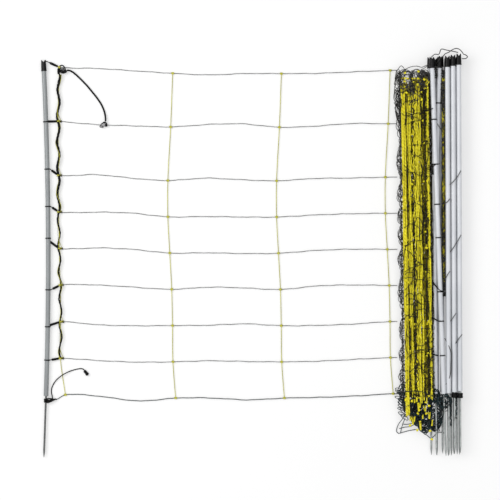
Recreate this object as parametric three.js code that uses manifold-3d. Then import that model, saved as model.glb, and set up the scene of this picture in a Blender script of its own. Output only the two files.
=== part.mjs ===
// Electric sheep netting laid flat: an end post, three stretched bays of net, and the rest of the
// net gathered in a bunch beside the pile of its posts.
// Millimetres, +Z up. The lines run along X, the uprights along Y, and the top of the fence is +Y.
import * as THREE from "three";
import { mergeVertices } from "three/addons/utils/BufferGeometryUtils.js";
import Module from "manifold-3d";

const wasm = await Module();
wasm.setup();

// Clearance between pieces that touch
const CLEARANCE = 0.3;

// Net: nine lines, spaced closer in the lower part, and uprights knotted at every line
const LOW_LINE_GAP = 100;
const LOW_GAP_COUNT = 6;
const HIGH_LINE_GAP = 148;
const HIGH_GAP_COUNT = 2;
const END_BAY = 311;
const UPRIGHT_PITCH = 300;
const UPRIGHT_COUNT = 4;
const LINE_DIAMETER = 2.2;
const BOTTOM_LINE_DIAMETER = 2.6;
const UPRIGHT_DIAMETER = 2.4;
const KNOT_LENGTH = 8.4;
const KNOT_WIDTH = 7.6;
const KNOT_HEIGHT = 6;

// How the laid net waves: sideways drift of the uprights at each line, bottom to top
const UPRIGHT_SWAY = [8.3, 0.8, -0.4, -2.7, -8, -13.2, -13.2, -5.5, 0];
const END_UPRIGHT_SWAY = [15, 1.4, 2.2, 0.8, -1.9, -3.3, -3.9, -4.7, -1.9];
// How far each upright lies up the floor, at its foot and at its head
const FOOT_LIFT = [9, 0, 0, 12];
const HEAD_LIFT = [17, 0, -1, 8];
// Bow of each line a third and two thirds of the way along each bay, bottom line first
const LINE_BOWS = [
  [-2, -11, 0, -5, -2, -2],
  [-3, -4, 3, 1, -2, -1],
  [-5, -4, 1, 5, -3, -3],
  [4, 2, 6, 4, 6, 5],
  [6, 6, 1, -1, 4, 4],
  [4, 6, 1, 0, 2, 2],
  [7, 2, 7, 3, 3, 1],
  [-4, -2, 7, 9, 0, 4],
  [2, 1, -4, 0, -2, -1],
];

// Posts: a tube with a notched cap on top and a steel spike in its foot
const TUBE_DIAMETER = 13;
const POST_RUN = 927;
const SPIKE_LENGTH = 170;
const SPIKE_DIAMETER = 5.5;
const SPIKE_POINT = 12;
const SPIKE_SEAT = 25;
const CAP_LENGTH = 31;
const CAP_WALL = 0.9;
const CAP_NOSE_LENGTH = 11;
const CAP_NOSE_RADIUS = 7;
const CAP_BORE_DEPTH = 24;
const NOTCH_DEPTH = 5.5;
const NOTCH_WIDTH = 8;
const ROUND_SIDES = 12;

// End post: its distance from the end upright, its rise over the top line and its bend
const END_POST_OFFSET = 45.1;
const END_POST_RISE = 36.3;
const END_POST_BOW = 13.4;

// Line clips on the end post: a ring, a thin neck and a thick lug that holds the line
const RING_WALL = 1.4;
const RING_HEIGHT = 2.6;
const NECK_RADIUS = 1.2;
const NECK_LENGTH = 7;
const LUG_RADIUS = 3.2;
const LUG_END_RADIUS = 2.6;
const LUG_GAP = 0.5;
const LINE_TAIL = 5;
const CLIP_SIDES = 8;
// Slip of each ring up the post from its line, for the second line from the bottom upward
const CLIP_SLIP = [-5, -9, -13, 17, 15, 17, -1];

// Corner tie between the cap and the top line
const CORNER_TIE_DROP = 3.3;
const CORNER_NECK_LENGTH = 11;

// Tie wound round the spike at the foot, with an arm that holds the bottom line
const FOOT_COIL_TURNS = 3;
const FOOT_COIL_PITCH = 3.8;
const FOOT_COIL_WALL = 3;
const FOOT_TIE_GAP = 5.8;
const FOOT_ARM_RADIUS = 2.6;
const FOOT_ARM_REACH = 29.4;
const FOOT_ARM_RISE = 3.2;
const FOOT_ARM_Z = 3.6;

// Connector on the top corner, and the cable that links the lines along the end upright
const CONNECTOR_THICKNESS = 7.5;
const CONNECTOR_BEVEL = 1.2;
const CABLE_DIAMETER = 4.4;
const CABLE_WAVE = 3.5;
const CABLE_WAVE_LENGTH = 72;

// Top lead with its clip, and bottom lead with its plug
const TOP_LEAD_DIAMETER = 5;
const TOP_LEAD_CLIP_X = 120;
const TOP_LEAD_CLIP_LENGTH = 18;
const TOP_LEAD_CLIP_WIDTH = 11;
const TOP_LEAD_CLIP_HEIGHT = 6;
const BOTTOM_LEAD_DIAMETER = 3;
const PLUG_LENGTH = 16;
const PLUG_WIDTH = 11;
const PLUG_HEIGHT = 8;
const LEAD_SIDES = 8;

// Gathered net: three layers of uprights side by side, line loops along the left and a tangle below
const BUNCH_OFFSET = 27.4;
const BUNCH_WIDTH = 75;
const BUNCH_LOWER_WIDTH = 62;
const BUNCH_TOP_OVER_LINE = 7;
const BUNCH_BOTTOM = 5;
const BUNCH_LEAN = 13.8;
const LAYER_HEIGHTS = [14.2, 14, 11.2];
const STRAND_COUNT = 11;
const STRAND_GROOVE = 4;
const FRINGE_WAIST_OFFSET = 20;
const FRINGE_LOBE = 8;
const FRINGE_HEIGHT = 24;
const FRINGE_BEVEL = 1.5;
const FRINGE_HEAD = 8;
const FRINGE_TAIL = 50;
const TANGLE_HEIGHT = 30;
const TANGLE_DEPTH = 100;
const TANGLE_WIDTH = 65;
const TANGLE_WING_WIDTH = 39;

// Pile of posts: a floor row, two posts on it and five posts on top
const PILE_OFFSET = 6.5;
const PILE_PLAY = 0.2;
const FLOOR_ROW_COUNT = 6;
const PILE_LEAN = 4.6;

// Derived sizes
const TUBE_RADIUS = TUBE_DIAMETER / 2;
const SPIKE_RADIUS = SPIKE_DIAMETER / 2;
const CAP_BORE_RADIUS = TUBE_RADIUS + CLEARANCE;
const CAP_RADIUS = CAP_BORE_RADIUS + CAP_WALL;
const FLAT_RATIO = Math.cos(Math.PI / ROUND_SIDES);
const RING_INNER = TUBE_RADIUS + CLEARANCE;
const RING_OUTER = RING_INNER + RING_WALL;
const END_POST_Z = RING_OUTER * FLAT_RATIO;
const POST_LENGTH = POST_RUN + SPIKE_LENGTH;
const NET_Z = KNOT_HEIGHT / 2;
const LINE_COUNT = LOW_GAP_COUNT + HIGH_GAP_COUNT + 1;
const NET_HEIGHT = LOW_GAP_COUNT * LOW_LINE_GAP + HIGH_GAP_COUNT * HIGH_LINE_GAP;
const TOP_ROW = LINE_COUNT - 1;
const ABOVE_KNOTS = NET_Z + KNOT_HEIGHT / 2 + CLEARANCE;
const CABLE_RADIUS = CABLE_DIAMETER / 2;
const CABLE_Z = ABOVE_KNOTS + CABLE_RADIUS;

const FINISHES = {
  tube: new THREE.MeshStandardMaterial({ color: 0xdfe1e3, roughness: 0.42, metalness: 0 }),
  cap: new THREE.MeshStandardMaterial({ color: 0x17181a, roughness: 0.45, metalness: 0 }),
  steel: new THREE.MeshStandardMaterial({ color: 0x777a7e, roughness: 0.4, metalness: 0.9 }),
  line: new THREE.MeshStandardMaterial({ color: 0x3c3f42, roughness: 0.55, metalness: 0.1 }),
  upright: new THREE.MeshStandardMaterial({ color: 0xe6e012, roughness: 0.55, metalness: 0 }),
  clip: new THREE.MeshStandardMaterial({ color: 0x121315, roughness: 0.5, metalness: 0 }),
  cable: new THREE.MeshStandardMaterial({ color: 0x1a1b1d, roughness: 0.5, metalness: 0 }),
};

// A route whose sweep steps fall on its own points
class PointRoute extends THREE.CatmullRomCurve3 {
  getUtoTmapping(u) {
    return u;
  }
}

function polygon(radius, sides) {
  const shape = new THREE.Shape();
  for (let side = 0; side < sides; side += 1) {
    const angle = (2 * Math.PI * (side + 0.5)) / sides;
    const x = radius * Math.cos(angle);
    const y = radius * Math.sin(angle);
    if (side === 0) {
      shape.moveTo(x, y);
    } else {
      shape.lineTo(x, y);
    }
  }
  shape.closePath();
  return shape;
}

function outline(points) {
  return new THREE.Shape(points.map(([x, y]) => new THREE.Vector2(x, y)));
}

function sweep(points, radius, sides, stepsPerSpan = 2) {
  const route = new PointRoute(points, false, "centripetal");
  const steps = (points.length - 1) * stepsPerSpan;
  return new THREE.ExtrudeGeometry(polygon(radius, sides), {
    steps,
    extrudePath: route,
    bevelEnabled: false,
  });
}

function lathe(profile, sides) {
  const points = profile.map(([radius, height]) => new THREE.Vector2(radius, height));
  return new THREE.LatheGeometry(points, sides, Math.PI / sides);
}

// A slab with bevelled edges that keeps the size of its outline, standing on z = 0
function bevelledSlab(points, height, bevel) {
  const slab = new THREE.ExtrudeGeometry(outline(points), {
    depth: height - 2 * bevel,
    bevelEnabled: true,
    bevelSegments: 1,
    bevelThickness: bevel,
    bevelSize: bevel,
    bevelOffset: -bevel,
  });
  return slab.translate(0, 0, bevel);
}

// Solids for joins and cuts
function solidOf(geometry) {
  const bare = geometry.index ? geometry.toNonIndexed() : geometry.clone();
  bare.deleteAttribute("normal");
  bare.deleteAttribute("uv");
  const merged = mergeVertices(bare, 1e-4);
  const corners = merged.index.array;
  const triangles = [];
  for (let i = 0; i < corners.length; i += 3) {
    const [a, b, c] = [corners[i], corners[i + 1], corners[i + 2]];
    if (a !== b && b !== c && c !== a) {
      triangles.push(a, b, c);
    }
  }
  return new wasm.Manifold(new wasm.Mesh({
    numProp: 3,
    vertProperties: Float32Array.from(merged.attributes.position.array),
    triVerts: Uint32Array.from(triangles),
  }));
}

function geometryOf(solid) {
  const mesh = solid.getMesh();
  const geometry = new THREE.BufferGeometry();
  geometry.setAttribute("position", new THREE.BufferAttribute(mesh.vertProperties, 3));
  geometry.setIndex(new THREE.BufferAttribute(mesh.triVerts, 1));
  const flat = geometry.toNonIndexed();
  flat.computeVertexNormals();
  return flat;
}

// Turns a geometry's +Y axis to a direction and moves its origin to a point
function placeAlong(geometry, origin, direction) {
  const up = new THREE.Vector3(0, 1, 0);
  const turn = new THREE.Quaternion().setFromUnitVectors(up, direction.clone().normalize());
  return geometry.applyQuaternion(turn).translate(origin.x, origin.y, origin.z);
}

const netting = new THREE.Group();

function addPiece(name, geometry, finish) {
  const mesh = new THREE.Mesh(geometry, finish.clone());
  mesh.name = name;
  netting.add(mesh);
  return mesh;
}

// Places on the net
function cycled(list, index) {
  return list[index % list.length];
}

function rowHeight(row) {
  const lowGaps = Math.min(row, LOW_GAP_COUNT);
  return lowGaps * LOW_LINE_GAP + (row - lowGaps) * HIGH_LINE_GAP;
}

function stationX(column) {
  return column === 0 ? 0 : END_BAY + (column - 1) * UPRIGHT_PITCH;
}

function knotAt(column, row) {
  const sway = column === 0 ? END_UPRIGHT_SWAY : UPRIGHT_SWAY;
  const rise = rowHeight(row) / NET_HEIGHT;
  const lift = THREE.MathUtils.lerp(cycled(FOOT_LIFT, column), cycled(HEAD_LIFT, column), rise);
  return new THREE.Vector3(stationX(column) + cycled(sway, row), rowHeight(row) + lift, NET_Z);
}

function endUprightX(y) {
  let row = 0;
  while (row < TOP_ROW - 1 && knotAt(0, row + 1).y < y) {
    row += 1;
  }
  const low = knotAt(0, row);
  const high = knotAt(0, row + 1);
  return THREE.MathUtils.mapLinear(y, low.y, high.y, low.x, high.x);
}

const LAST_STATION = stationX(UPRIGHT_COUNT - 1);
const WAIST_X = LAST_STATION + FRINGE_WAIST_OFFSET;

// Axis of a post: from the top of its cap to the point of its spike, with a lean and a bend
class PostAxis {
  constructor(topX, topY, z, lean, bow) {
    Object.assign(this, { topX, topY, z, lean, bow });
  }

  at(distance) {
    const t = distance / POST_LENGTH;
    const x = this.topX + this.lean * t + this.bow * 4 * t * (1 - t);
    return new THREE.Vector3(x, this.topY - distance, this.z);
  }

  direction(distance) {
    const t = distance / POST_LENGTH;
    const slope = (this.lean + this.bow * 4 * (1 - 2 * t)) / POST_LENGTH;
    return new THREE.Vector3(-slope, 1, 0).normalize();
  }
}

function postTube(axis) {
  const length = POST_RUN - (CAP_LENGTH - CAP_BORE_DEPTH) - CLEARANCE;
  const start = POST_RUN - length;
  const spans = axis.bow === 0 ? 1 : 10;
  const points = [];
  for (let span = 0; span <= spans; span += 1) {
    points.push(axis.at(start + (length * span) / spans));
  }
  const rod = solidOf(sweep(points, TUBE_RADIUS, ROUND_SIDES, 1));
  const foot = axis.at(POST_RUN);
  const boreRadius = SPIKE_RADIUS + CLEARANCE;
  const depth = SPIKE_SEAT + CLEARANCE;
  const bore = lathe([[0, -1], [boreRadius, -1], [boreRadius, depth], [0, depth]], CLIP_SIDES);
  return geometryOf(rod.subtract(solidOf(placeAlong(bore, foot, axis.direction(POST_RUN)))));
}

function postCap() {
  const body = solidOf(lathe([
    [0, CAP_BORE_DEPTH],
    [CAP_BORE_RADIUS, CAP_BORE_DEPTH],
    [CAP_BORE_RADIUS, 0],
    [CAP_RADIUS, 0],
    [CAP_RADIUS, CAP_LENGTH - CAP_NOSE_LENGTH],
    [CAP_NOSE_RADIUS, CAP_LENGTH],
    [0, CAP_LENGTH],
  ], ROUND_SIDES));
  const reach = CAP_RADIUS + 2;
  const wedge = new THREE.ExtrudeGeometry(outline([
    [0, CAP_LENGTH - NOTCH_DEPTH],
    [NOTCH_WIDTH / 2 + 1, CAP_LENGTH + 2],
    [-NOTCH_WIDTH / 2 - 1, CAP_LENGTH + 2],
  ]), { depth: 2 * reach, bevelEnabled: false }).translate(0, 0, -reach);
  return geometryOf(body.subtract(solidOf(wedge)));
}

function spikeProfile(seat) {
  return [
    [0, -SPIKE_LENGTH],
    [SPIKE_RADIUS, SPIKE_POINT - SPIKE_LENGTH],
    [SPIKE_RADIUS, seat],
  ];
}

function addPost(name, axis) {
  addPiece(`${name}_tube`, postTube(axis), FINISHES.tube);
  const cap = placeAlong(postCap(), axis.at(CAP_LENGTH), axis.direction(CAP_LENGTH));
  addPiece(`${name}_cap`, cap, FINISHES.cap);
  const spike = lathe([...spikeProfile(SPIKE_SEAT), [0, SPIKE_SEAT]], CLIP_SIDES);
  placeAlong(spike, axis.at(POST_RUN), axis.direction(POST_RUN));
  addPiece(`${name}_spike`, spike, FINISHES.steel);
}

// A hidden post of the pile, as one plain solid with the outer shape of tube, cap and spike
function addPlainPost(name, axis) {
  const post = lathe([
    ...spikeProfile(0),
    [TUBE_RADIUS, 0],
    [TUBE_RADIUS, POST_RUN - CAP_LENGTH],
    [CAP_RADIUS, POST_RUN - CAP_LENGTH],
    [CAP_RADIUS, POST_RUN - CAP_NOSE_LENGTH],
    [CAP_NOSE_RADIUS, POST_RUN],
    [0, POST_RUN],
  ], ROUND_SIDES);
  placeAlong(post, axis.at(POST_RUN), axis.direction(POST_RUN));
  addPiece(name, post, FINISHES.tube);
}

const endPost = new PostAxis(-END_POST_OFFSET, NET_HEIGHT + END_POST_RISE, END_POST_Z, 0, END_POST_BOW);

function endPostAt(y) {
  return endPost.at(endPost.topY - y);
}

// Arm of a clip or tie: a neck that widens to a lug, from one point to another
function arm(from, to, neckLength) {
  const along = to.clone().sub(from);
  const length = along.length();
  const shape = lathe([
    [0, 0],
    [NECK_RADIUS, 0],
    [NECK_RADIUS, neckLength],
    [LUG_RADIUS, neckLength + 2],
    [LUG_END_RADIUS, length],
    [0, length],
  ], CLIP_SIDES);
  return placeAlong(shape, from, along);
}

function stopShort(from, knot) {
  const reach = KNOT_LENGTH / 2 + LUG_GAP;
  return knot.clone().addScaledVector(knot.clone().sub(from).normalize(), -reach);
}

function clipRoot(row) {
  const knot = knotAt(0, row);
  const ringY = knot.y + cycled(CLIP_SLIP, row - 1);
  const centre = endPostAt(ringY);
  const across = new THREE.Vector3(knot.x - centre.x, 0, knot.z - centre.z).normalize();
  const root = centre.clone().addScaledVector(across, RING_INNER + RING_WALL / 2);
  return { centre, root };
}

function cornerRoot() {
  const centre = endPostAt(endPost.topY - CORNER_TIE_DROP);
  const standOff = CAP_RADIUS + CLEARANCE;
  return new THREE.Vector3(centre.x + standOff, centre.y, centre.z);
}

const footCoilHeight = FOOT_COIL_TURNS * FOOT_COIL_PITCH;
const footCentre = endPost.at(POST_RUN + FOOT_TIE_GAP + footCoilHeight / 2);
const footArmEnd = new THREE.Vector3(
  footCentre.x + FOOT_ARM_REACH,
  footCentre.y + FOOT_ARM_RISE,
  FOOT_ARM_Z,
);
const footArmDirection = footArmEnd.clone().sub(footCentre).normalize();

// The start of a line, inside the lug that holds it
function lineStart(row) {
  const knot = knotAt(0, row);
  if (row === 0) {
    return [
      footArmEnd.clone().addScaledVector(footArmDirection, -LINE_TAIL),
      footArmEnd.clone().addScaledVector(footArmDirection, 2),
      knot,
    ];
  }
  const root = row === TOP_ROW ? cornerRoot() : clipRoot(row).root;
  const end = stopShort(root, knot);
  const back = root.clone().sub(knot).normalize();
  return [end.addScaledVector(back, LINE_TAIL), knot];
}

function lineRoute(row) {
  const points = lineStart(row);
  const bows = cycled(LINE_BOWS, row);
  for (let bay = 0; bay < UPRIGHT_COUNT - 1; bay += 1) {
    const from = knotAt(bay, row);
    const to = knotAt(bay + 1, row);
    for (let third = 1; third <= 2; third += 1) {
      const point = from.clone().lerp(to, third / 3);
      point.y += cycled(bows, 2 * bay + third - 1);
      points.push(point);
    }
    points.push(to);
  }
  const last = points[points.length - 1];
  points.push(new THREE.Vector3(WAIST_X - CLEARANCE, last.y, NET_Z));
  return points;
}

function lineRadius(row) {
  return (row === 0 ? BOTTOM_LINE_DIAMETER : LINE_DIAMETER) / 2;
}

function lineName(row) {
  return `line_${LINE_COUNT - row}`;
}

// The room that a line needs in a knot or lug, with a little more at its tail
function lineChannel(row) {
  const points = lineRoute(row);
  const back = points[0].clone().sub(points[1]).normalize();
  points[0].addScaledVector(back, CLEARANCE);
  return solidOf(sweep(points, lineRadius(row) + CLEARANCE, 6));
}

const channels = [];
for (let row = 0; row < LINE_COUNT; row += 1) {
  channels.push(lineChannel(row));
  addPiece(lineName(row), sweep(lineRoute(row), lineRadius(row), 6), FINISHES.line);
}

// Uprights: a strand with a knot round each line
function knot(centre) {
  const ball = new THREE.SphereGeometry(1, 6, 4).rotateY(Math.PI / 2);
  ball.scale(KNOT_LENGTH / 2, KNOT_WIDTH / 2, KNOT_HEIGHT / 2);
  return ball.translate(centre.x, centre.y, centre.z);
}

for (let column = 0; column < UPRIGHT_COUNT; column += 1) {
  const places = [];
  for (let row = 0; row < LINE_COUNT; row += 1) {
    places.push(knotAt(column, row));
  }
  let upright = solidOf(sweep(places, UPRIGHT_DIAMETER / 2, 6, 1));
  places.forEach((place) => {
    upright = upright.add(solidOf(knot(place)));
  });
  channels.forEach((channel) => {
    upright = upright.subtract(channel);
  });
  addPiece(`upright_${column + 1}`, geometryOf(upright), FINISHES.upright);
}

// End post, the clips on it, the corner tie and the foot tie
addPost("end_post", endPost);

for (let row = 1; row < TOP_ROW; row += 1) {
  const { centre, root } = clipRoot(row);
  const half = RING_HEIGHT / 2;
  const ring = lathe([
    [RING_INNER, -half],
    [RING_OUTER, -half],
    [RING_OUTER, half],
    [RING_INNER, half],
    [RING_INNER, -half],
  ], ROUND_SIDES);
  const along = endPost.direction(endPost.topY - centre.y);
  const lug = arm(root, stopShort(root, knotAt(0, row)), NECK_LENGTH);
  const clip = solidOf(placeAlong(ring, centre, along)).add(solidOf(lug)).subtract(channels[row]);
  addPiece(`line_clip_${LINE_COUNT - row}`, geometryOf(clip), FINISHES.clip);
}

const cornerFrom = cornerRoot();
const cornerTie = arm(cornerFrom, stopShort(cornerFrom, knotAt(0, TOP_ROW)), CORNER_NECK_LENGTH);
addPiece("corner_tie", geometryOf(solidOf(cornerTie).subtract(channels[TOP_ROW])), FINISHES.clip);

function footTie() {
  const inner = SPIKE_RADIUS + CLEARANCE;
  const half = footCoilHeight / 2;
  const profile = [[inner, -half]];
  for (let turn = 0; turn < FOOT_COIL_TURNS; turn += 1) {
    const base = -half + turn * FOOT_COIL_PITCH;
    profile.push([inner + 1, base]);
    profile.push([inner + FOOT_COIL_WALL, base + 1]);
    profile.push([inner + FOOT_COIL_WALL, base + FOOT_COIL_PITCH - 1]);
  }
  profile.push([inner + 1, half], [inner, half], [inner, -half]);
  const along = endPost.direction(endPost.topY - footCentre.y);
  const coil = placeAlong(lathe(profile, CLIP_SIDES), footCentre, along);
  const root = footCentre.clone().addScaledVector(footArmDirection, inner + FOOT_COIL_WALL / 2);
  const bar = lathe([
    [0, 0],
    [FOOT_ARM_RADIUS - 1, 0],
    [FOOT_ARM_RADIUS, 3],
    [FOOT_ARM_RADIUS, footArmEnd.distanceTo(root)],
    [0, footArmEnd.distanceTo(root)],
  ], CLIP_SIDES);
  placeAlong(bar, root, footArmDirection);
  return solidOf(coil).add(solidOf(bar)).subtract(channels[0]);
}

addPiece("foot_tie", geometryOf(footTie()), FINISHES.clip);

// Corner connector over the top knot of the end upright
const cornerKnot = knotAt(0, TOP_ROW);
const CONNECTOR_OUTLINE = [
  [-5.3, -17],
  [-2.5, -21],
  [9, -21],
  [17, -18.5],
  [21.5, -13],
  [21.5, -4],
  [16, 1.8],
  [3, 3.3],
  [-3.5, 1.2],
  [-5.3, -4],
];
const connector = bevelledSlab(CONNECTOR_OUTLINE, CONNECTOR_THICKNESS, CONNECTOR_BEVEL);
connector.translate(cornerKnot.x, cornerKnot.y, ABOVE_KNOTS);
addPiece("corner_connector", connector, FINISHES.clip);

// Link cable: winds down the end upright, over its knots, from the connector to the second line
const connectorFoot = cornerKnot.y + Math.min(...CONNECTOR_OUTLINE.map(([, y]) => y));
const cableTop = connectorFoot - CLEARANCE - CABLE_DIAMETER;
const cableBottom = knotAt(0, 1).y;
const cableRoute = [
  new THREE.Vector3(endUprightX(cableTop) + CABLE_WAVE, connectorFoot - CLEARANCE, CABLE_Z),
];
const CABLE_STEP = CABLE_WAVE_LENGTH / 4;
const cableSpans = Math.max(1, Math.round((cableTop - cableBottom) / CABLE_STEP));
for (let span = 0; span <= cableSpans; span += 1) {
  const y = THREE.MathUtils.lerp(cableTop, cableBottom, span / cableSpans);
  const phase = (2 * Math.PI * (cableTop - y)) / CABLE_WAVE_LENGTH;
  cableRoute.push(new THREE.Vector3(endUprightX(y) + CABLE_WAVE * Math.cos(phase), y, CABLE_Z));
}
addPiece("link_cable", sweep(cableRoute, CABLE_RADIUS, 6, 1), FINISHES.cable);

// Top lead: from the connector down to the floor, then to its clip on the second line
const leadZ = ABOVE_KNOTS + CONNECTOR_THICKNESS / 2;
const connectorSide = cornerKnot.x + Math.max(...CONNECTOR_OUTLINE.map(([x]) => x));
const topLeadFloor = TOP_LEAD_DIAMETER / 2 + CLEARANCE;
const clipBase = NET_Z + LINE_DIAMETER / 2 + CLEARANCE;
const clipMiddle = clipBase + TOP_LEAD_CLIP_HEIGHT / 2;
const topLeadRoute = [
  [connectorSide + CLEARANCE, 903.5, leadZ],
  [27, 903.2, leadZ - 0.4],
  [34.5, 899.6, 8],
  [44, 892.3, 5.2],
  [54, 883, 3.2],
  [64.3, 872.7, topLeadFloor],
  [76, 860.3, topLeadFloor],
  [86.7, 847.3, topLeadFloor],
  [97.5, 834.2, topLeadFloor],
  [106.5, 821.9, topLeadFloor],
  [113.8, 810.8, topLeadFloor],
  [119.2, 799.3, topLeadFloor],
  [122.8, 789.4, 3.2],
  [125, 779.7, 5],
  [126, 771.5, 6.6],
  [126.2, 763.2, clipMiddle],
].map(([x, y, z]) => new THREE.Vector3(x, y, z));
addPiece("top_lead", sweep(topLeadRoute, TOP_LEAD_DIAMETER / 2, LEAD_SIDES), FINISHES.cable);

function lineYAt(row, x) {
  const route = new PointRoute(lineRoute(row), false, "centripetal");
  const samples = route.getPoints(400);
  const beyond = samples.findIndex((sample) => sample.x > x);
  const [low, high] = [samples[beyond - 1], samples[beyond]];
  return THREE.MathUtils.mapLinear(x, low.x, high.x, low.y, high.y);
}

// Clip of the top lead: a flat D that lies on the second line
const clipEnd = TOP_LEAD_CLIP_LENGTH / 2;
const clipSide = TOP_LEAD_CLIP_WIDTH / 2;
const leadClip = bevelledSlab([
  [-clipEnd, -clipSide + 2],
  [-clipEnd + 2.5, -clipSide],
  [clipEnd - 4, -clipSide],
  [clipEnd - 1, -clipSide + 3],
  [clipEnd, 0],
  [clipEnd, clipSide - 1],
  [clipEnd - 1, clipSide],
  [-clipEnd + 4, clipSide],
  [-clipEnd, clipSide - 4],
], TOP_LEAD_CLIP_HEIGHT, 1);
leadClip.translate(TOP_LEAD_CLIP_X, lineYAt(TOP_ROW - 1, TOP_LEAD_CLIP_X), clipBase);
addPiece("top_lead_clip", leadClip, FINISHES.clip);

// Bottom lead: from the foot tie, over the end upright, to its plug on the floor
const leadStart = footCentre.clone().lerp(footArmEnd, 0.62);
const leadFloor = BOTTOM_LEAD_DIAMETER / 2 + CLEARANCE;
const bottomLeadRoute = [
  [leadStart.x, leadStart.y + FOOT_ARM_RADIUS + CLEARANCE, leadStart.z],
  [-21.5, 6, 4.2],
  [-23.3, 15, leadFloor],
  [-22.8, 26, leadFloor],
  [-18, 38, leadFloor],
  [-10, 49.5, 3.6],
  [2, 60, 6.2],
  [15.5, 68.4, 6.2],
  [29, 74.5, 3.4],
  [41, 78.2, leadFloor],
  [52, 80.6, leadFloor],
  [60, 81, 2.5],
  [65, 79.2, 3.6],
  [68, 75.4, PLUG_HEIGHT / 2],
].map(([x, y, z]) => new THREE.Vector3(x, y, z));
addPiece("bottom_lead", sweep(bottomLeadRoute, BOTTOM_LEAD_DIAMETER / 2, LEAD_SIDES), FINISHES.cable);

const plugHalf = PLUG_WIDTH / 2;
const plug = bevelledSlab([
  [0, -plugHalf + 3],
  [2, -plugHalf],
  [PLUG_LENGTH - 1.5, -plugHalf],
  [PLUG_LENGTH, -plugHalf + 1.5],
  [PLUG_LENGTH, plugHalf - 1.5],
  [PLUG_LENGTH - 1.5, plugHalf],
  [2, plugHalf],
  [0, plugHalf - 3],
], PLUG_HEIGHT, 1);
const leadEnd = bottomLeadRoute[bottomLeadRoute.length - 1];
const leadAim = new PointRoute(bottomLeadRoute, false, "centripetal").getTangent(1);
leadAim.z = 0;
leadAim.normalize();
plug.rotateZ(Math.atan2(leadAim.y, leadAim.x));
const plugOrigin = leadEnd.clone().addScaledVector(leadAim, 2 * CLEARANCE);
plug.translate(plugOrigin.x, plugOrigin.y, 0);
addPiece("bottom_lead_plug", plug, FINISHES.clip);

// Gathered net
const bunchTop = NET_HEIGHT + BUNCH_TOP_OVER_LINE;
const bunchLeft = LAST_STATION + BUNCH_OFFSET;
const bunchRight = bunchLeft + BUNCH_WIDTH;

function bunchEdge(y) {
  return bunchLeft + (BUNCH_LEAN * (bunchTop - y)) / (bunchTop - BUNCH_BOTTOM);
}

// One layer of uprights side by side: a flat underside, and a groove between the strands on top
function strandLayer(width, height) {
  const pitch = width / STRAND_COUNT;
  const points = [[0, 0], [width, 0], [width, height - STRAND_GROOVE]];
  for (let strand = STRAND_COUNT - 1; strand >= 0; strand -= 1) {
    points.push([(strand + 0.75) * pitch, height]);
    points.push([(strand + 0.25) * pitch, height]);
    points.push([strand * pitch, height - STRAND_GROOVE]);
  }
  const length = bunchTop - BUNCH_BOTTOM;
  const layer = new THREE.ExtrudeGeometry(outline(points), { depth: length, bevelEnabled: false });
  layer.rotateX(Math.PI / 2);
  const lean = new THREE.Matrix4().makeShear(0, 0, -BUNCH_LEAN / length, 0, 0, 0);
  return layer.applyMatrix4(lean);
}

let layerZ = 0;
LAYER_HEIGHTS.forEach((height, index) => {
  const width = index === 0 ? BUNCH_LOWER_WIDTH : BUNCH_WIDTH;
  const layer = strandLayer(width, height).translate(bunchLeft, bunchTop, layerZ);
  addPiece(`gathered_uprights_${index + 1}`, layer, FINISHES.upright);
  layerZ += height + CLEARANCE;
});

// Line loops along the left of the bunch: a lobe between each two lines and a waist at each line
function fringeOutline() {
  const points = [];
  const lastColumn = UPRIGHT_COUNT - 1;
  const head = knotAt(lastColumn, TOP_ROW).y + FRINGE_HEAD;
  const tail = knotAt(lastColumn, 0).y - FRINGE_TAIL;
  points.push([bunchEdge(head) - 2 * CLEARANCE, head]);
  for (let row = TOP_ROW; row >= 0; row -= 1) {
    const waist = knotAt(lastColumn, row).y;
    const below = row > 0 ? knotAt(lastColumn, row - 1).y : tail;
    const gap = waist - below;
    points.push([WAIST_X, waist + 3], [WAIST_X, waist - 3]);
    points.push([WAIST_X - FRINGE_LOBE * 0.8, waist - 0.27 * gap]);
    points.push([WAIST_X - FRINGE_LOBE, waist - 0.5 * gap]);
    points.push([WAIST_X - FRINGE_LOBE * 0.8, waist - 0.73 * gap]);
  }
  points.push([WAIST_X + 2, tail], [bunchEdge(tail) - 2 * CLEARANCE, tail]);
  return points.reverse();
}

const fringe = bevelledSlab(fringeOutline(), FRINGE_HEIGHT, FRINGE_BEVEL);
addPiece("gathered_line_loops", fringe, FINISHES.line);

// Pile of posts beside the bunch
const pilePitch = 2 * CAP_RADIUS + PILE_PLAY;
const pileRise = pilePitch * Math.sin(Math.PI / 3);
const pileLeft = bunchRight + PILE_OFFSET;
const floorRowZ = CAP_RADIUS * FLAT_RATIO;
const pileTop = NET_HEIGHT + 44;

function pileX(place) {
  return pileLeft + place * pilePitch;
}

for (let place = 0; place < FLOOR_ROW_COUNT; place += 1) {
  const topY = pileTop - 3 * (place % 2) + 2 * (place % 3);
  const axis = new PostAxis(pileX(place), topY, floorRowZ, PILE_LEAN, 0);
  addPlainPost(`under_post_${place + 1}`, axis);
}

[3.5, 4.5].forEach((place, index) => {
  const axis = new PostAxis(pileX(place), pileTop + 3 * index, floorRowZ + pileRise, PILE_LEAN, 0);
  addPlainPost(`under_post_${FLOOR_ROW_COUNT + index + 1}`, axis);
});

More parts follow.
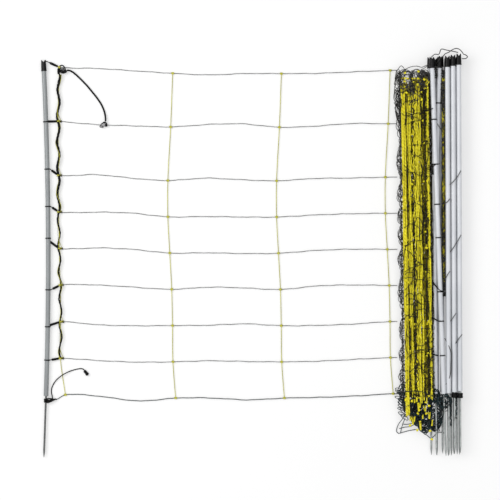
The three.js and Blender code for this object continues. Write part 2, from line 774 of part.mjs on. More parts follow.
// The second post lies on the third floor post, and the first one crosses over it
const SECOND_POST_SET = 4.5;
const secondZ = floorRowZ + Math.sqrt(pilePitch ** 2 - SECOND_POST_SET ** 2);
const firstZ = secondZ + 2 * TUBE_RADIUS + CLEARANCE;
const topZ = floorRowZ + 2 * pileRise;
const FIRST_POST_SET = 4;
const FIRST_POST_LEAN = 2.5 * pilePitch;
addPost("post_1", new PostAxis(pileX(0) + FIRST_POST_SET, pileTop - 1.3, firstZ, FIRST_POST_LEAN, 0));
addPost("post_2", new PostAxis(pileX(2) - SECOND_POST_SET, pileTop, secondZ, -7.5, -8.5));
addPost("post_3", new PostAxis(pileX(3), pileTop + 2, topZ, PILE_LEAN, 0));
addPost("post_4", new PostAxis(pileX(4), pileTop + 5, topZ, PILE_LEAN, 0));
addPost("post_5", new PostAxis(pileX(5), pileTop + 8, topZ, PILE_LEAN, 0));

// Tangle of the bottom line below the bunch, with a wing between the spikes
function bottomTangle() {
  const top = BUNCH_BOTTOM - CLEARANCE;
  const left = bunchEdge(BUNCH_BOTTOM) + 0.5;
  const right = left + TANGLE_WIDTH;
  const tail = knotAt(UPRIGHT_COUNT - 1, 0).y - FRINGE_TAIL;
  const body = bevelledSlab([
    [left, top],
    [left + BUNCH_LEAN * 0.1, tail],
    [left + 5, tail - 22],
    [left + 20, top - 0.8 * TANGLE_DEPTH],
    [right - 12, top - TANGLE_DEPTH],
    [right, top - TANGLE_DEPTH],
    [right, top],
  ], TANGLE_HEIGHT, 2);
  const wingFloor = floorRowZ + SPIKE_RADIUS + CLEARANCE;
  const wingTop = secondZ - SPIKE_RADIUS - CLEARANCE;
  const wing = bevelledSlab([
    [right - 6, top - TANGLE_DEPTH],
    [right + TANGLE_WING_WIDTH, top - 0.93 * TANGLE_DEPTH],
    [right + TANGLE_WING_WIDTH, top - 18],
    [right + TANGLE_WING_WIDTH - 12, top - 6],
    [right - 6, top - 6],
  ], wingTop - wingFloor, 1).translate(0, 0, wingFloor);
  return solidOf(body).add(solidOf(wing));
}

addPiece("bottom_line_tangle", geometryOf(bottomTangle()), FINISHES.line);

// Origin under the middle of the whole, on the floor
const bounds = new THREE.Box3().setFromObject(netting);
const middle = bounds.getCenter(new THREE.Vector3());
netting.position.set(-middle.x, -middle.y, -bounds.min.z);

export default netting;
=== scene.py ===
"""Electric sheep netting laid flat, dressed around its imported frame.

A stretched net panel with its end post lies at the left, and the rest of the net lies gathered at the
right, beside the pile of its posts. All sizes are in metres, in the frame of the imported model: +X along
the lines, +Y toward the top of the fence, +Z up off the floor.
"""

from __future__ import annotations

import logging
import math
from dataclasses import dataclass, field
from enum import Enum

import bpy
import numpy as np
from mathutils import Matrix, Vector


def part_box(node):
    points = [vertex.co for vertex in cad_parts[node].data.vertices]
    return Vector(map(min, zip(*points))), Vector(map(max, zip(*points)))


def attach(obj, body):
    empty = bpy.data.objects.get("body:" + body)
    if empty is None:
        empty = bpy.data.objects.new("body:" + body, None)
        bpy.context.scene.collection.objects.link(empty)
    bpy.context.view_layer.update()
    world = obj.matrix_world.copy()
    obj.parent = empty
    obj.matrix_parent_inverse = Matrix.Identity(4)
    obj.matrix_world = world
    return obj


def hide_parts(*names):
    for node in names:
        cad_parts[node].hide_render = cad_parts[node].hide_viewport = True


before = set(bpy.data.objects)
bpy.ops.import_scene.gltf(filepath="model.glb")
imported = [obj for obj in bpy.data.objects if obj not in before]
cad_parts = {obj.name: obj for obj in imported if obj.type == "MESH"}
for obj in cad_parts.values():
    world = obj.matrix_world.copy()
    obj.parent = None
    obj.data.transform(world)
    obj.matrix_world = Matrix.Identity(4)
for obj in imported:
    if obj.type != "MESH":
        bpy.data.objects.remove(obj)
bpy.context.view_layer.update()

LOG = logging.getLogger("sheep_netting")
MM = 0.001
BODY = "root"
LINE_COUNT = 9
UPRIGHT_COUNT = 4
PILE_COUNT = 5
UNDER_COUNT = 8
UPRIGHT_RINGS = (-21, -15, -9, -3)
UP = np.array([0.0, 0.0, 1.0])
FLOOR_PLAY = 0.05 * MM
FLOOR_GLOW = 0.42
FLOOR_REACH = 4.0
LENS = 200.0
SENSOR = 36.0
VIEW_MIDDLE = (-3.64 * MM, 16.77 * MM)
VIEW_WIDTH = 1.38
WHITE = (1.0, 1.0, 1.0)
BLACK = (0.003, 0.003, 0.003)

# Sides of a cord's section, yarns in it, depth of the grooves between them and length of a turn.
LINE_PLY = (9, 3, 0.3, 11 * MM)
UPRIGHT_PLY = (9, 3, 0.26, 9 * MM)
CONNECTOR_PLY = (9, 3, 0.2, 7 * MM)
EAR_PLY = (7, 3, 0.2, 7 * MM)
CROSS_PLY = (8, 3, 0.2, 7 * MM)
TIE_PLY = (8, 3, 0.2, 8 * MM)
ARM_PLY = (10, 3, 0.22, 14 * MM)
HEAD_PLY = (7, 3, 0.25, 9 * MM)
CURL_PLY = (6, 3, 0.25, 11 * MM)
FOOT_PLY = (8, 3, 0.25, 11 * MM)

Points = np.ndarray
Random = np.random.Generator
Triple = tuple[float, float, float]
Route = tuple[Triple, ...]
Profile = tuple[tuple[float, float], ...]
Socket = bpy.types.NodeSocket
Material = bpy.types.Material


class Slot(Enum):
    """The material slots."""

    LINE = "line_wire"
    BOTTOM_LINE = "bottom_line_wire"
    UPRIGHT = "upright_strand"
    TUBE = "post_tube"
    PLASTIC = "black_plastic"
    CABLE = "cable_sheath"
    STEEL = "spike_steel"


def point(x: float, y: float, z: float) -> Points:
    """A point from millimetres.

    Args:
        x: Place along the lines, in millimetres.
        y: Place up the fence, in millimetres.
        z: Height off the floor, in millimetres.

    Returns:
        The point in metres.
    """
    return np.array([x, y, z]) * MM


def unit(vectors: Points) -> Points:
    """Vectors scaled to length one.

    Args:
        vectors: Any array whose last axis is x, y, z.

    Returns:
        An array of the same shape.
    """
    length = np.linalg.norm(vectors, axis=-1, keepdims=True)
    return vectors / np.maximum(length, 1e-12)


def between(t: Points, early: float, late: float, first: Points, second: Points) -> Points:
    """What lies between two values, at times between an early and a late one."""
    return ((late - t) * first + (t - early) * second) / (late - early)


def smooth_path(controls: Points, step: float, density: int = 24) -> Points:
    """A smooth path through control points, with evenly spaced points.

    Args:
        controls: The points that the path goes through, one a row.
        step: The distance between the points of the path, in metres.
        density: Points between two controls before they are spaced evenly.

    Returns:
        The points of the path, one a row.
    """
    controls = np.asarray(controls, float)
    ends = np.vstack([2 * controls[0] - controls[1], controls, 2 * controls[-1] - controls[-2]])
    times = np.concatenate([[0.0], np.cumsum(np.linalg.norm(np.diff(ends, axis=0), axis=1) ** 0.5)])
    dense = []
    for i in range(len(ends) - 3):
        when, spots = times[i:i + 4], ends[i:i + 4]
        t = np.linspace(when[1], when[2], density, endpoint=False)[:, None]
        outer = [between(t, when[k], when[k + 1], spots[k], spots[k + 1]) for k in range(3)]
        inner = [between(t, when[k], when[k + 2], outer[k], outer[k + 1]) for k in range(2)]
        dense.append(between(t, when[1], when[2], *inner))
    return resample(np.vstack([*dense, controls[-1:]]), step)


def lengths_along(path: Points) -> Points:
    """The distance of each point of a path from its start."""
    return np.concatenate([[0.0], np.cumsum(np.linalg.norm(np.diff(path, axis=0), axis=1))])


def spots_on(path: Points, along: Points, places: float | Points) -> Points:
    """Points of a path where a value that rises along it has the given places.

    Args:
        path: The points of a path, one a row.
        along: The value at each of them.
        places: The wanted values.

    Returns:
        The point at each place.
    """
    return np.stack([np.interp(places, along, path[:, axis]) for axis in range(3)], axis=-1)


def resample(path: Points, step: float) -> Points:
    """The same path with evenly spaced points.

    Args:
        path: The points of a path, one a row.
        step: The wanted distance between points, in metres.

    Returns:
        The points of the path, one a row.
    """
    along = lengths_along(path)
    count = max(2, int(round(along[-1] / step)) + 1)
    return spots_on(path, along, np.linspace(0.0, along[-1], count))


def axes_round(direction: Points) -> tuple[Points, Points]:
    """Two ways across a direction.

    Args:
        direction: The direction, of length one.

    Returns:
        A way to its side, and the way a quarter turn to the left of that.
    """
    aside = np.array([1.0, 0.0, 0.0]) if abs(direction[2]) > 0.8 else UP
    right = unit(np.cross(direction, aside))
    return right, np.cross(direction, right)


def tilted_loop(turn: Points, long: float, wide: float, tilt: float, height: Points) -> Points:
    """An oval loop, turned about the way up.

    Args:
        turn: The angles of its points.
        long: Half its length, in millimetres.
        wide: Half its width.
        tilt: How far it is turned, in radians.
        height: Height of each point.

    Returns:
        Its points, in millimetres.
    """
    x, y = long * np.cos(turn), wide * np.sin(turn)
    return np.stack([x * math.cos(tilt) - y * math.sin(tilt),
                     x * math.sin(tilt) + y * math.cos(tilt), height], axis=1)


def frames_along(paths: Points) -> tuple[Points, Points, Points]:
    """Tangents and two cross directions at every point of several paths.

    Args:
        paths: Paths of equally many points, as an array of path, point and x, y, z.

    Returns:
        Tangents, normals and binormals, each shaped as the paths.
    """
    tangents = unit(np.gradient(paths, axis=1))
    normals = np.empty_like(tangents)
    first = tangents[:, 0]
    aside = np.where(np.abs(first[:, 2:3]) > 0.8, np.array([1.0, 0.0, 0.0]), UP)
    normals[:, 0] = unit(aside - first * np.sum(aside * first, axis=1, keepdims=True))
    for i in range(1, paths.shape[1]):
        carried = normals[:, i - 1]
        tangent = tangents[:, i]
        normals[:, i] = unit(carried - tangent * np.sum(carried * tangent, axis=1, keepdims=True))
    return tangents, normals, np.cross(tangents, normals)


def rings_of(node: str, axis: int, gap: float = 1.5 * MM) -> Points:
    """Middles of the rings of vertices that a swept or turned node is made of.

    Args:
        node: Name of the node.
        axis: The axis that the node runs along, 0 for x or 1 for y.
        gap: Rings lie at least this far apart along the axis, in metres.

    Returns:
        One middle a row, in order along the axis.
    """
    vertices = np.array([v.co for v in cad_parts[node].data.vertices], float)
    vertices = np.unique(np.round(vertices, 6), axis=0)
    vertices = vertices[np.argsort(vertices[:, axis])]
    breaks = np.nonzero(np.diff(vertices[:, axis]) > gap)[0] + 1
    return np.array([(ring.min(0) + ring.max(0)) / 2 for ring in np.split(vertices, breaks)])


@dataclass
class Form:
    """A mesh that grows part by part, with values that its material reads.

    Attributes:
        points: Vertex places of each part.
        corners: Vertex numbers of the faces, one after another.
        sizes: How many corners each face has.
        values: Distance along, turn around and shade of each vertex.
        total: How many vertices there are.
    """

    points: list[Points] = field(default_factory=list)
    corners: list[Points] = field(default_factory=list)
    sizes: list[Points] = field(default_factory=list)
    values: list[Points] = field(default_factory=list)
    total: int = 0

    def add(self, points: Points, faces: list[Points], values: Points | None = None) -> None:
        """Adds one part.

        Args:
            points: Its vertices, one a row.
            faces: Arrays of faces, each array with equally many corners a face.
            values: Distance along, turn around and shade of each vertex.
        """
        points[:, 2] = np.maximum(points[:, 2], FLOOR_PLAY)
        for group in faces:
            if len(group):
                self.corners.append((group + self.total).ravel())
                self.sizes.append(np.full(len(group), group.shape[1]))
        self.points.append(points)
        self.values.append(np.zeros((len(points), 3)) if values is None else values)
        self.total += len(points)

    def sweep(
        self,
        paths: Points,
        radius: float | Points,
        sides: int = 6,
        lobes: int = 0,
        lobe_depth: float = 0.0,
        twist: float = 0.0,
        shade: Points | float = 0.5,
    ) -> None:
        """Adds round or twisted strands along paths.

        Args:
            paths: One path, or several of equally many points.
            radius: Radius of the strand, in metres, or one at each point.
            sides: Sides of the section.
            lobes: Yarns that show round the section, or 0 for a round one.
            lobe_depth: Depth of the grooves between yarns, as a share of the radius.
            twist: Length of one turn of the section, in metres, or 0.
            shade: A value from 0 to 1 for each path, which the material reads.
        """
        paths = np.asarray(paths, float)
        if paths.ndim == 2:
            paths = paths[None]
        count, steps, _ = paths.shape
        _, normals, binormals = frames_along(paths)
        lengths = np.linalg.norm(np.diff(paths, axis=1), axis=2)
        along = np.concatenate([np.zeros((count, 1)), np.cumsum(lengths, axis=1)], axis=1)
        turn = np.arange(sides) / sides
        angle = math.tau * turn
        spin = math.tau * along / twist if twist else np.zeros_like(along)
        swing = 1 - lobe_depth / 2 * (1 - np.cos(lobes * angle)) if lobes else np.ones(sides)
        reach = np.broadcast_to(np.asarray(radius, float), (count, steps))[..., None] * swing
        theta = angle + spin[..., None]
        ring = (
            paths[:, :, None]
            + (reach * np.cos(theta))[..., None] * normals[:, :, None]
            + (reach * np.sin(theta))[..., None] * binormals[:, :, None]
        )
        here = np.arange(count * steps * sides).reshape(count, steps, sides)
        after = np.roll(here, -1, axis=2)
        quads = np.stack([here[:, :-1], after[:, :-1], after[:, 1:], here[:, 1:]], axis=-1)
        values = np.empty((count, steps, sides, 3))
        values[..., 0] = along[..., None]
        values[..., 1] = turn
        values[..., 2] = np.broadcast_to(np.asarray(shade, float), (count,))[:, None, None]
        faces = [quads.reshape(-1, 4), here[:, 0, ::-1], here[:, -1]]
        self.add(ring.reshape(-1, 3), faces, values.reshape(-1, 3))

    def rope(
        self,
        route: Route,
        radius: float,
        *ply: float,
        step: float = 2.0,
        shade: float = 0.5,
        origin: Points | float = 0.0,
    ) -> None:
        """Adds a cord along a smooth route.

        Args:
            route: Its points, in millimetres from the origin.
            radius: Its radius, in millimetres.
            ply: Sides of its section, then its yarns, grooves and turn where it has them.
            step: Distance between the points of its path, in millimetres.
            shade: A value from 0 to 1 that the material reads.
            origin: Where the route starts from, in metres.
        """
        path = smooth_path(origin + np.array(route) * MM, step * MM)
        self.sweep(path, radius * MM, *ply, shade=shade)

    def loft(
        self,
        rings: list[Points],
        heights: Points | None = None,
        shade: float = 0.5,
        closed: bool = False,
    ) -> None:
        """Adds a skin over rings of equally many points, where a ring of one point ends it.

        Args:
            rings: The rings, each turning to the left round the way from ring to ring.
            heights: The distance of each ring along the shape, or none.
            shade: A value from 0 to 1 that the material reads.
            closed: Whether the first and the last ring are filled.
        """
        counts = [len(ring) for ring in rings]
        sides = max(counts)
        rows = np.split(np.arange(sum(counts)), np.cumsum(counts)[:-1])
        faces = [row[None] for row in (rows[0][::-1], rows[-1]) if closed and len(row) > 1]
        for low, high in zip(rows[:-1], rows[1:]):
            corners = [low, np.roll(low, -1), np.roll(high, -1), high]
            if len(low) == 1:
                corners[:2] = [np.repeat(low, sides)]
            elif len(high) == 1:
                corners[2:] = [np.repeat(high, sides)]
            faces.append(np.stack(corners, axis=1))
        along = np.zeros(len(rings)) if heights is None else heights
        values = [
            np.stack([np.full(count, height), np.arange(count) / sides, np.full(count, shade)], axis=1)
            for count, height in zip(counts, along)
        ]
        self.add(np.vstack(rings), faces, np.vstack(values))

    def turned(
        self,
        profile: Profile,
        origin: Points,
        direction: Points,
        sides: int = 32,
        shade: float = 0.5,
    ) -> None:
        """Adds a turned shape.

        Args:
            profile: Radius and height of each ring, in millimetres; a radius of 0 closes the shape.
            origin: The point at height 0, in metres.
            direction: The way that heights grow.
            sides: Sides of the shape.
            shade: A value from 0 to 1 that the material reads.
        """
        direction = unit(np.asarray(direction, float))
        right, left = axes_round(direction)
        angle = math.tau * np.arange(sides)[:, None] / sides
        spoke = np.cos(angle) * right + np.sin(angle) * left
        sizes = np.array(profile) * MM
        rings = [origin + direction * height + (spoke * radius if radius > 0 else np.zeros((1, 3)))
                 for radius, height in sizes]
        self.loft(rings, sizes[:, 1], shade)

    def piece(
        self,
        name: str,
        finish: Finish,
        replaces: tuple[str, ...] = (),
        sharp: float = 40.0,
    ) -> bpy.types.Object:
        """Makes the object, dresses it and lets it ride.

        Args:
            name: Name of the piece.
            finish: Its finish.
            replaces: Nodes of the frame that it stands for.
            sharp: Edges over this angle stay sharp, in degrees.

        Returns:
            The new object.
        """
        mesh = bpy.data.meshes.new(name)
        points = np.vstack(self.points).astype(np.float32)
        corners = np.concatenate(self.corners).astype(np.int32)
        sizes = np.concatenate(self.sizes).astype(np.int32)
        values = np.vstack(self.values).astype(np.float32)
        mesh.vertices.add(len(points))
        mesh.vertices.foreach_set("co", points.ravel())
        mesh.loops.add(len(corners))
        mesh.loops.foreach_set("vertex_index", corners)
        mesh.polygons.add(len(sizes))
        starts = np.concatenate([[0], np.cumsum(sizes)[:-1]])
        mesh.polygons.foreach_set("loop_start", starts.astype(np.int32))
        mesh.polygons.foreach_set("use_smooth", np.ones(len(sizes), bool))
        mesh.update(calc_edges=True)
        for label, column in (("along", 0), ("around", 1), ("shade", 2)):
            layer = mesh.attributes.new(label, "FLOAT", "POINT")
            layer.data.foreach_set("value", np.ascontiguousarray(values[:, column]))
        mesh.validate()
        mesh.set_sharp_from_angle(angle=math.radians(sharp))
        mesh.materials.append(finish.material())
        piece = bpy.data.objects.new(name, mesh)
        bpy.context.scene.collection.objects.link(piece)
        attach(piece, BODY)
        if replaces:
            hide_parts(*replaces)
        LOG.info("%s: %d faces", name, len(sizes))
        return piece


class Nodes:
    """A material's node tree, built from short calls."""

    def __init__(self, name: str) -> None:
        """Starts an empty material.

        Args:
            name: Name of the material.
        """
        self.material = bpy.data.materials.new(name)
        self.material.use_nodes = True
        self.tree = self.material.node_tree
        self.tree.nodes.clear()
        self.output = self.tree.nodes.new("ShaderNodeOutputMaterial")
        self.shader = self.tree.nodes.new("ShaderNodeBsdfPrincipled")
        self.link(self.shader.outputs[0], self.output.inputs["Surface"])

    def link(self, source: Socket, target: Socket) -> None:
        """Joins two sockets."""
        self.tree.links.new(source, target)

    def add(self, kind: str, result: int | str, inputs: dict, **settings: object) -> Socket:
        """Adds a node.

        Args:
            kind: The node's kind.
            result: Which of its outputs is wanted.
            inputs: A number, a colour or a socket for each input that is set.
            settings: The node's own settings.

        Returns:
            The wanted output.
        """
        node = self.tree.nodes.new(f"ShaderNode{kind}")
        for name, setting in settings.items():
            setattr(node, name, setting)
        for key, given in inputs.items():
            socket = node.inputs[key]
            if isinstance(given, bpy.types.NodeSocket):
                self.link(given, socket)
            else:
                socket.default_value = (*given, 1.0) if socket.type == "RGBA" else given
        return node.outputs[result]

    def value(self, label: str) -> Socket:
        """The socket of a value that the mesh carries."""
        return self.add("Attribute", "Fac", {}, attribute_name=label)

    def place(self) -> Socket:
        """The socket of the point's place in the frame."""
        return self.add("TexCoord", "Object", {})

    def math(self, kind: str, *inputs: float | Socket) -> Socket:
        """A sum of one or two values."""
        return self.add("Math", 0, dict(enumerate(inputs)), operation=kind)

    def noise(self, scale: float, detail: float = 3.0) -> Socket:
        """A noise value of a fineness, with so many finer layers."""
        return self.add("TexNoise", "Fac", {"Vector": self.place(), "Scale": scale, "Detail": detail})

    def streaks(self, scale: Triple, detail: float) -> Socket:
        """A noise value that is drawn out along the posts."""
        vector = self.add("Mapping", 0, {"Vector": self.place(), "Scale": scale})
        return self.add("TexNoise", "Fac", {"Vector": vector, "Scale": 1.0, "Detail": detail})

    def cells(self, scale: float) -> Socket:
        """A colour that changes from cell to cell."""
        return self.add("TexVoronoi", "Color", {"Vector": self.place(), "Scale": scale})

    def ramp(self, source: Socket, *stops: tuple[float, Triple]) -> Socket:
        """A colour ramp.

        Args:
            source: The value that chooses the colour.
            stops: Places and colours of the ramp.

        Returns:
            The colour's socket.
        """
        node = self.tree.nodes.new("ShaderNodeValToRGB")
        elements = node.color_ramp.elements
        while len(elements) < len(stops):
            elements.new(0.5)
        for element, (place, colour) in zip(elements, stops):
            element.position = place
            element.color = (*colour, 1.0)
        self.link(source, node.inputs[0])
        return node.outputs[0]

    def mix(self, share: Socket, first: Triple | Socket, second: Triple | Socket) -> Socket:
        """A blend of two colours, by the share of the second."""
        return self.add("Mix", 2, {0: share, 6: first, 7: second}, data_type="RGBA")

    def range(self, source: Socket, low: float, high: float, to_low: float, to_high: float) -> Socket:
        """A value carried from one range to another."""
        return self.add("MapRange", 0, dict(enumerate((source, low, high, to_low, to_high))))

    def set(self, **values: float) -> None:
        """Sets numbers on the surface, each named as its socket with _ for a space."""
        for name, number in values.items():
            self.shader.inputs[name.replace("_", " ")].default_value = number

    def bump(self, height: Socket, distance: float, strength: float) -> None:
        """Raises the surface by a height value, by a distance in metres."""
        normal = self.add("Bump", 0, {"Height": height, "Distance": distance, "Strength": strength})
        self.link(normal, self.shader.inputs["Normal"])

    def colour(self, socket: Socket) -> None:
        """Sets the surface's colour from a socket."""
        self.link(socket, self.shader.inputs["Base Color"])

    def roughness(self, source: Socket, low: float, high: float, smooth: float, rough: float) -> None:
        """Sets the surface's roughness from a value, carried from its range to one of roughness."""
        self.link(self.range(source, low, high, smooth, rough), self.shader.inputs["Roughness"])


@dataclass(frozen=True)
class StrandFinish:
    """Twisted strand: yarns with brighter ones among them, wound round its length.

    Attributes:
        name: Name of the material.
        yarn: Colour of most yarns.
        bright: Colour of the bright yarns or wires.
        dark: Colour that the darkest strands take, where painted shade and weathering darken them.
        share: How much of the turn the bright yarns take.
        pitch: Length of one turn of the bright yarns, in metres.
        sheen: Roughness of the yarns.
        metal: Metalness of the strand.
        gloss: Strength of its reflections.
    """

    name: str
    yarn: Triple
    bright: Triple
    dark: Triple
    share: float
    pitch: float
    sheen: float = 0.5
    metal: float = 0.0
    gloss: float = 0.25

    def make(self) -> Material:
        """Builds the material.

        Returns:
            The material.
        """
        nodes = Nodes(self.name)
        nodes.set(Metallic=self.metal, Specular_IOR_Level=self.gloss)
        turns = nodes.math("DIVIDE", nodes.value("along"), self.pitch)
        helix = nodes.math("FRACT", nodes.math("ADD", turns, nodes.value("around")))
        wobble = nodes.math("MULTIPLY", nodes.noise(420.0, 2.0), 0.35)
        place = nodes.math("ADD", helix, wobble)
        edge = 0.18 + self.share
        stripe = nodes.ramp(
            place, (0.14, (0.0, 0.0, 0.0)), (0.2, WHITE),
            (edge, WHITE), (min(edge + 0.08, 1.0), (0.0, 0.0, 0.0)),
        )
        striped = nodes.mix(stripe, self.yarn, self.bright)
        weather = nodes.range(nodes.noise(60.0, 4.0), 0.35, 0.75, 0.0, 0.3)
        # The mesh's shade value mixes a strand toward the dark colour; on the gathered and piled uprights
        # it is painted shade, elsewhere tone that differs at random. Weathering noise darkens it too.
        shade = nodes.math("MAXIMUM", nodes.range(nodes.value("shade"), 0.0, 1.0, 0.0, 0.85), weather)
        nodes.colour(nodes.mix(shade, striped, self.dark))
        nodes.roughness(nodes.noise(300.0), 0.2, 0.8, self.sheen - 0.12, self.sheen + 0.15)
        fibres = nodes.math("SINE", nodes.math("MULTIPLY", helix, 8 * math.pi))
        nodes.bump(nodes.math("ADD", fibres, nodes.noise(900.0)), 0.00012, 0.7)
        return nodes.material


@dataclass(frozen=True)
class PlasticFinish:
    """Moulded plastic or rubber with a fine grain, rubbed lighter in places.

    Attributes:
        name: Name of the material.
        base: Its colour.
        rubbed: Its colour where it is rubbed.
        sheen: Its roughness.
        grain: Depth of its grain, in metres.
        coat: Strength of its gloss coat.
    """

    name: str
    base: Triple
    rubbed: Triple
    sheen: float = 0.4
    grain: float = 0.00006
    coat: float = 0.0

    def make(self) -> Material:
        """Builds the material.

        Returns:
            The material.
        """
        nodes = Nodes(self.name)
        nodes.set(Coat_Weight=self.coat, Specular_IOR_Level=0.1)
        rub = nodes.range(nodes.noise(90.0, 5.0), 0.52, 0.78, 0.0, 0.8)
        nodes.colour(nodes.mix(rub, self.base, self.rubbed))
        nodes.roughness(nodes.noise(240.0), 0.25, 0.75, self.sheen - 0.1, self.sheen + 0.14)
        nodes.bump(nodes.noise(1400.0, 2.0), self.grain, 0.5)
        return nodes.material


@dataclass(frozen=True)
class TubeFinish:
    """Drawn plastic tube: fine lines along it, cloudy grey and a few scuffs.

    Attributes:
        name: Name of the material.
        base: Its colour.
        cloud: The colour of its cloudier stretches.
        scuff: The colour of its scuffs.
    """

    name: str
    base: Triple
    cloud: Triple
    scuff: Triple

    def make(self) -> Material:
        """Builds the material.

        Returns:
            The material.
        """
        nodes = Nodes(self.name)
        nodes.set(Coat_Weight=0.15)
        drawn = nodes.streaks((900.0, 6.0, 900.0), 3.0)
        clouds = nodes.range(nodes.noise(9.0, 3.0), 0.35, 0.65, 0.0, 1.0)
        body = nodes.mix(clouds, self.base, self.cloud)
        marks = nodes.range(nodes.noise(70.0, 6.0), 0.66, 0.74, 0.0, 0.45)
        nodes.colour(nodes.mix(marks, body, self.scuff))
        nodes.roughness(drawn, 0.3, 0.7, 0.28, 0.46)
        nodes.bump(drawn, 0.00005, 0.5)
        return nodes.material


@dataclass(frozen=True)
class SteelFinish:
    """Galvanised steel: grey spangles, streaks along it, darker toward its point.

    Attributes:
        name: Name of the material.
        base: Its colour.
        bright: The colour of its brighter spangles.
        stain: The colour of its stains.
    """

    name: str
    base: Triple
    bright: Triple
    stain: Triple

    def make(self) -> Material:
        """Builds the material.

        Returns:
            The material.
        """
        nodes = Nodes(self.name)
        nodes.set(Metallic=0.75)
        streaks = nodes.streaks((700.0, 30.0, 700.0), 4.0)
        spangle = nodes.mix(nodes.range(nodes.cells(260.0), 0.0, 1.0, 0.0, 0.6), self.base, self.bright)
        stained = nodes.range(nodes.noise(55.0, 5.0), 0.5, 0.7, 0.0, 0.6)
        body = nodes.mix(stained, spangle, self.stain)
        low = nodes.range(nodes.value("shade"), 0.5, 1.0, 0.0, 0.85)
        nodes.colour(nodes.mix(low, body, self.stain))
        nodes.roughness(streaks, 0.3, 0.7, 0.3, 0.52)
        nodes.bump(streaks, 0.00006, 0.6)
        return nodes.material


class Finish(Enum):
    """The finishes of the netting, each with the material slot that it stands for."""

    LINE = (StrandFinish("line_polywire", (0.05, 0.05, 0.052), (0.34, 0.34, 0.35), BLACK,
                         0.34, 9 * MM, 0.45, 0.1), Slot.LINE)
    BOTTOM_LINE = (StrandFinish("bottom_polywire", (0.006, 0.01, 0.013), (0.02, 0.07, 0.075),
                                (0.002, 0.003, 0.004), 0.22, 11 * MM, 0.42), Slot.BOTTOM_LINE)
    LOOSE_LINE = (StrandFinish("gathered_polywire", (0.02, 0.019, 0.018), (0.15, 0.15, 0.15), BLACK,
                               0.24, 9 * MM, 0.45), Slot.LINE)
    CRUMPLED = (StrandFinish("crumpled_polywire", (0.02, 0.016, 0.003), (0.1, 0.088, 0.02), BLACK,
                             0.24, 9 * MM), Slot.LINE)
    UPRIGHT = (StrandFinish("yellow_yarn", (0.78, 0.67, 0.006), (0.97, 0.9, 0.05), (0.16, 0.12, 0.003),
                            0.4, 10 * MM), Slot.UPRIGHT)
    STRETCHED = (StrandFinish("stretched_yarn", (0.42, 0.4, 0.02), (0.72, 0.7, 0.1), (0.2, 0.19, 0.01),
                              0.36, 10 * MM), Slot.UPRIGHT)
    TUBE = (TubeFinish("post_tube_white", (0.6, 0.615, 0.645), (0.52, 0.54, 0.57), (0.4, 0.4, 0.41)),
            Slot.TUBE)
    # A darker grey copy of the post tube, for the end post.
    END_TUBE = (TubeFinish("post_tube_grey", (0.235, 0.25, 0.255), (0.2, 0.212, 0.218),
                           (0.15, 0.16, 0.15)), Slot.TUBE)
    PLASTIC = (PlasticFinish("black_moulding", (0.003, 0.003, 0.0032), (0.012, 0.012, 0.013)),
               Slot.PLASTIC)
    CAP = (PlasticFinish("cap_moulding", (0.004, 0.004, 0.0045), (0.014, 0.014, 0.015), 0.36, coat=0.12),
           Slot.PLASTIC)
    CABLE = (PlasticFinish("black_sheath", (0.003, 0.003, 0.0032), (0.009, 0.009, 0.01), 0.42),
             Slot.CABLE)
    WIRE = (StrandFinish("bare_wire", (0.22, 0.21, 0.22), (0.4, 0.4, 0.41), (0.07, 0.07, 0.07),
                         0.4, 4 * MM, 0.35, 0.6), Slot.STEEL)
    STEEL = (SteelFinish("galvanised_steel", (0.3, 0.325, 0.32), (0.46, 0.48, 0.475), (0.1, 0.105, 0.1)),
             Slot.STEEL)
    # A darker copy of the galvanised steel, for the end post's spike.
    END_STEEL = (SteelFinish("darker_steel", (0.1, 0.105, 0.105), (0.17, 0.175, 0.17),
                             (0.04, 0.04, 0.04)), Slot.STEEL)

    def __init__(self, recipe: StrandFinish | TubeFinish | PlasticFinish | SteelFinish, slot: Slot) -> None:
        """Keeps the recipe and the slot."""
        self.recipe = recipe
        self.slot = slot

    def material(self) -> Material:
        """The finish's material, made once."""
        return bpy.data.materials.get(self.recipe.name) or self.recipe.make()


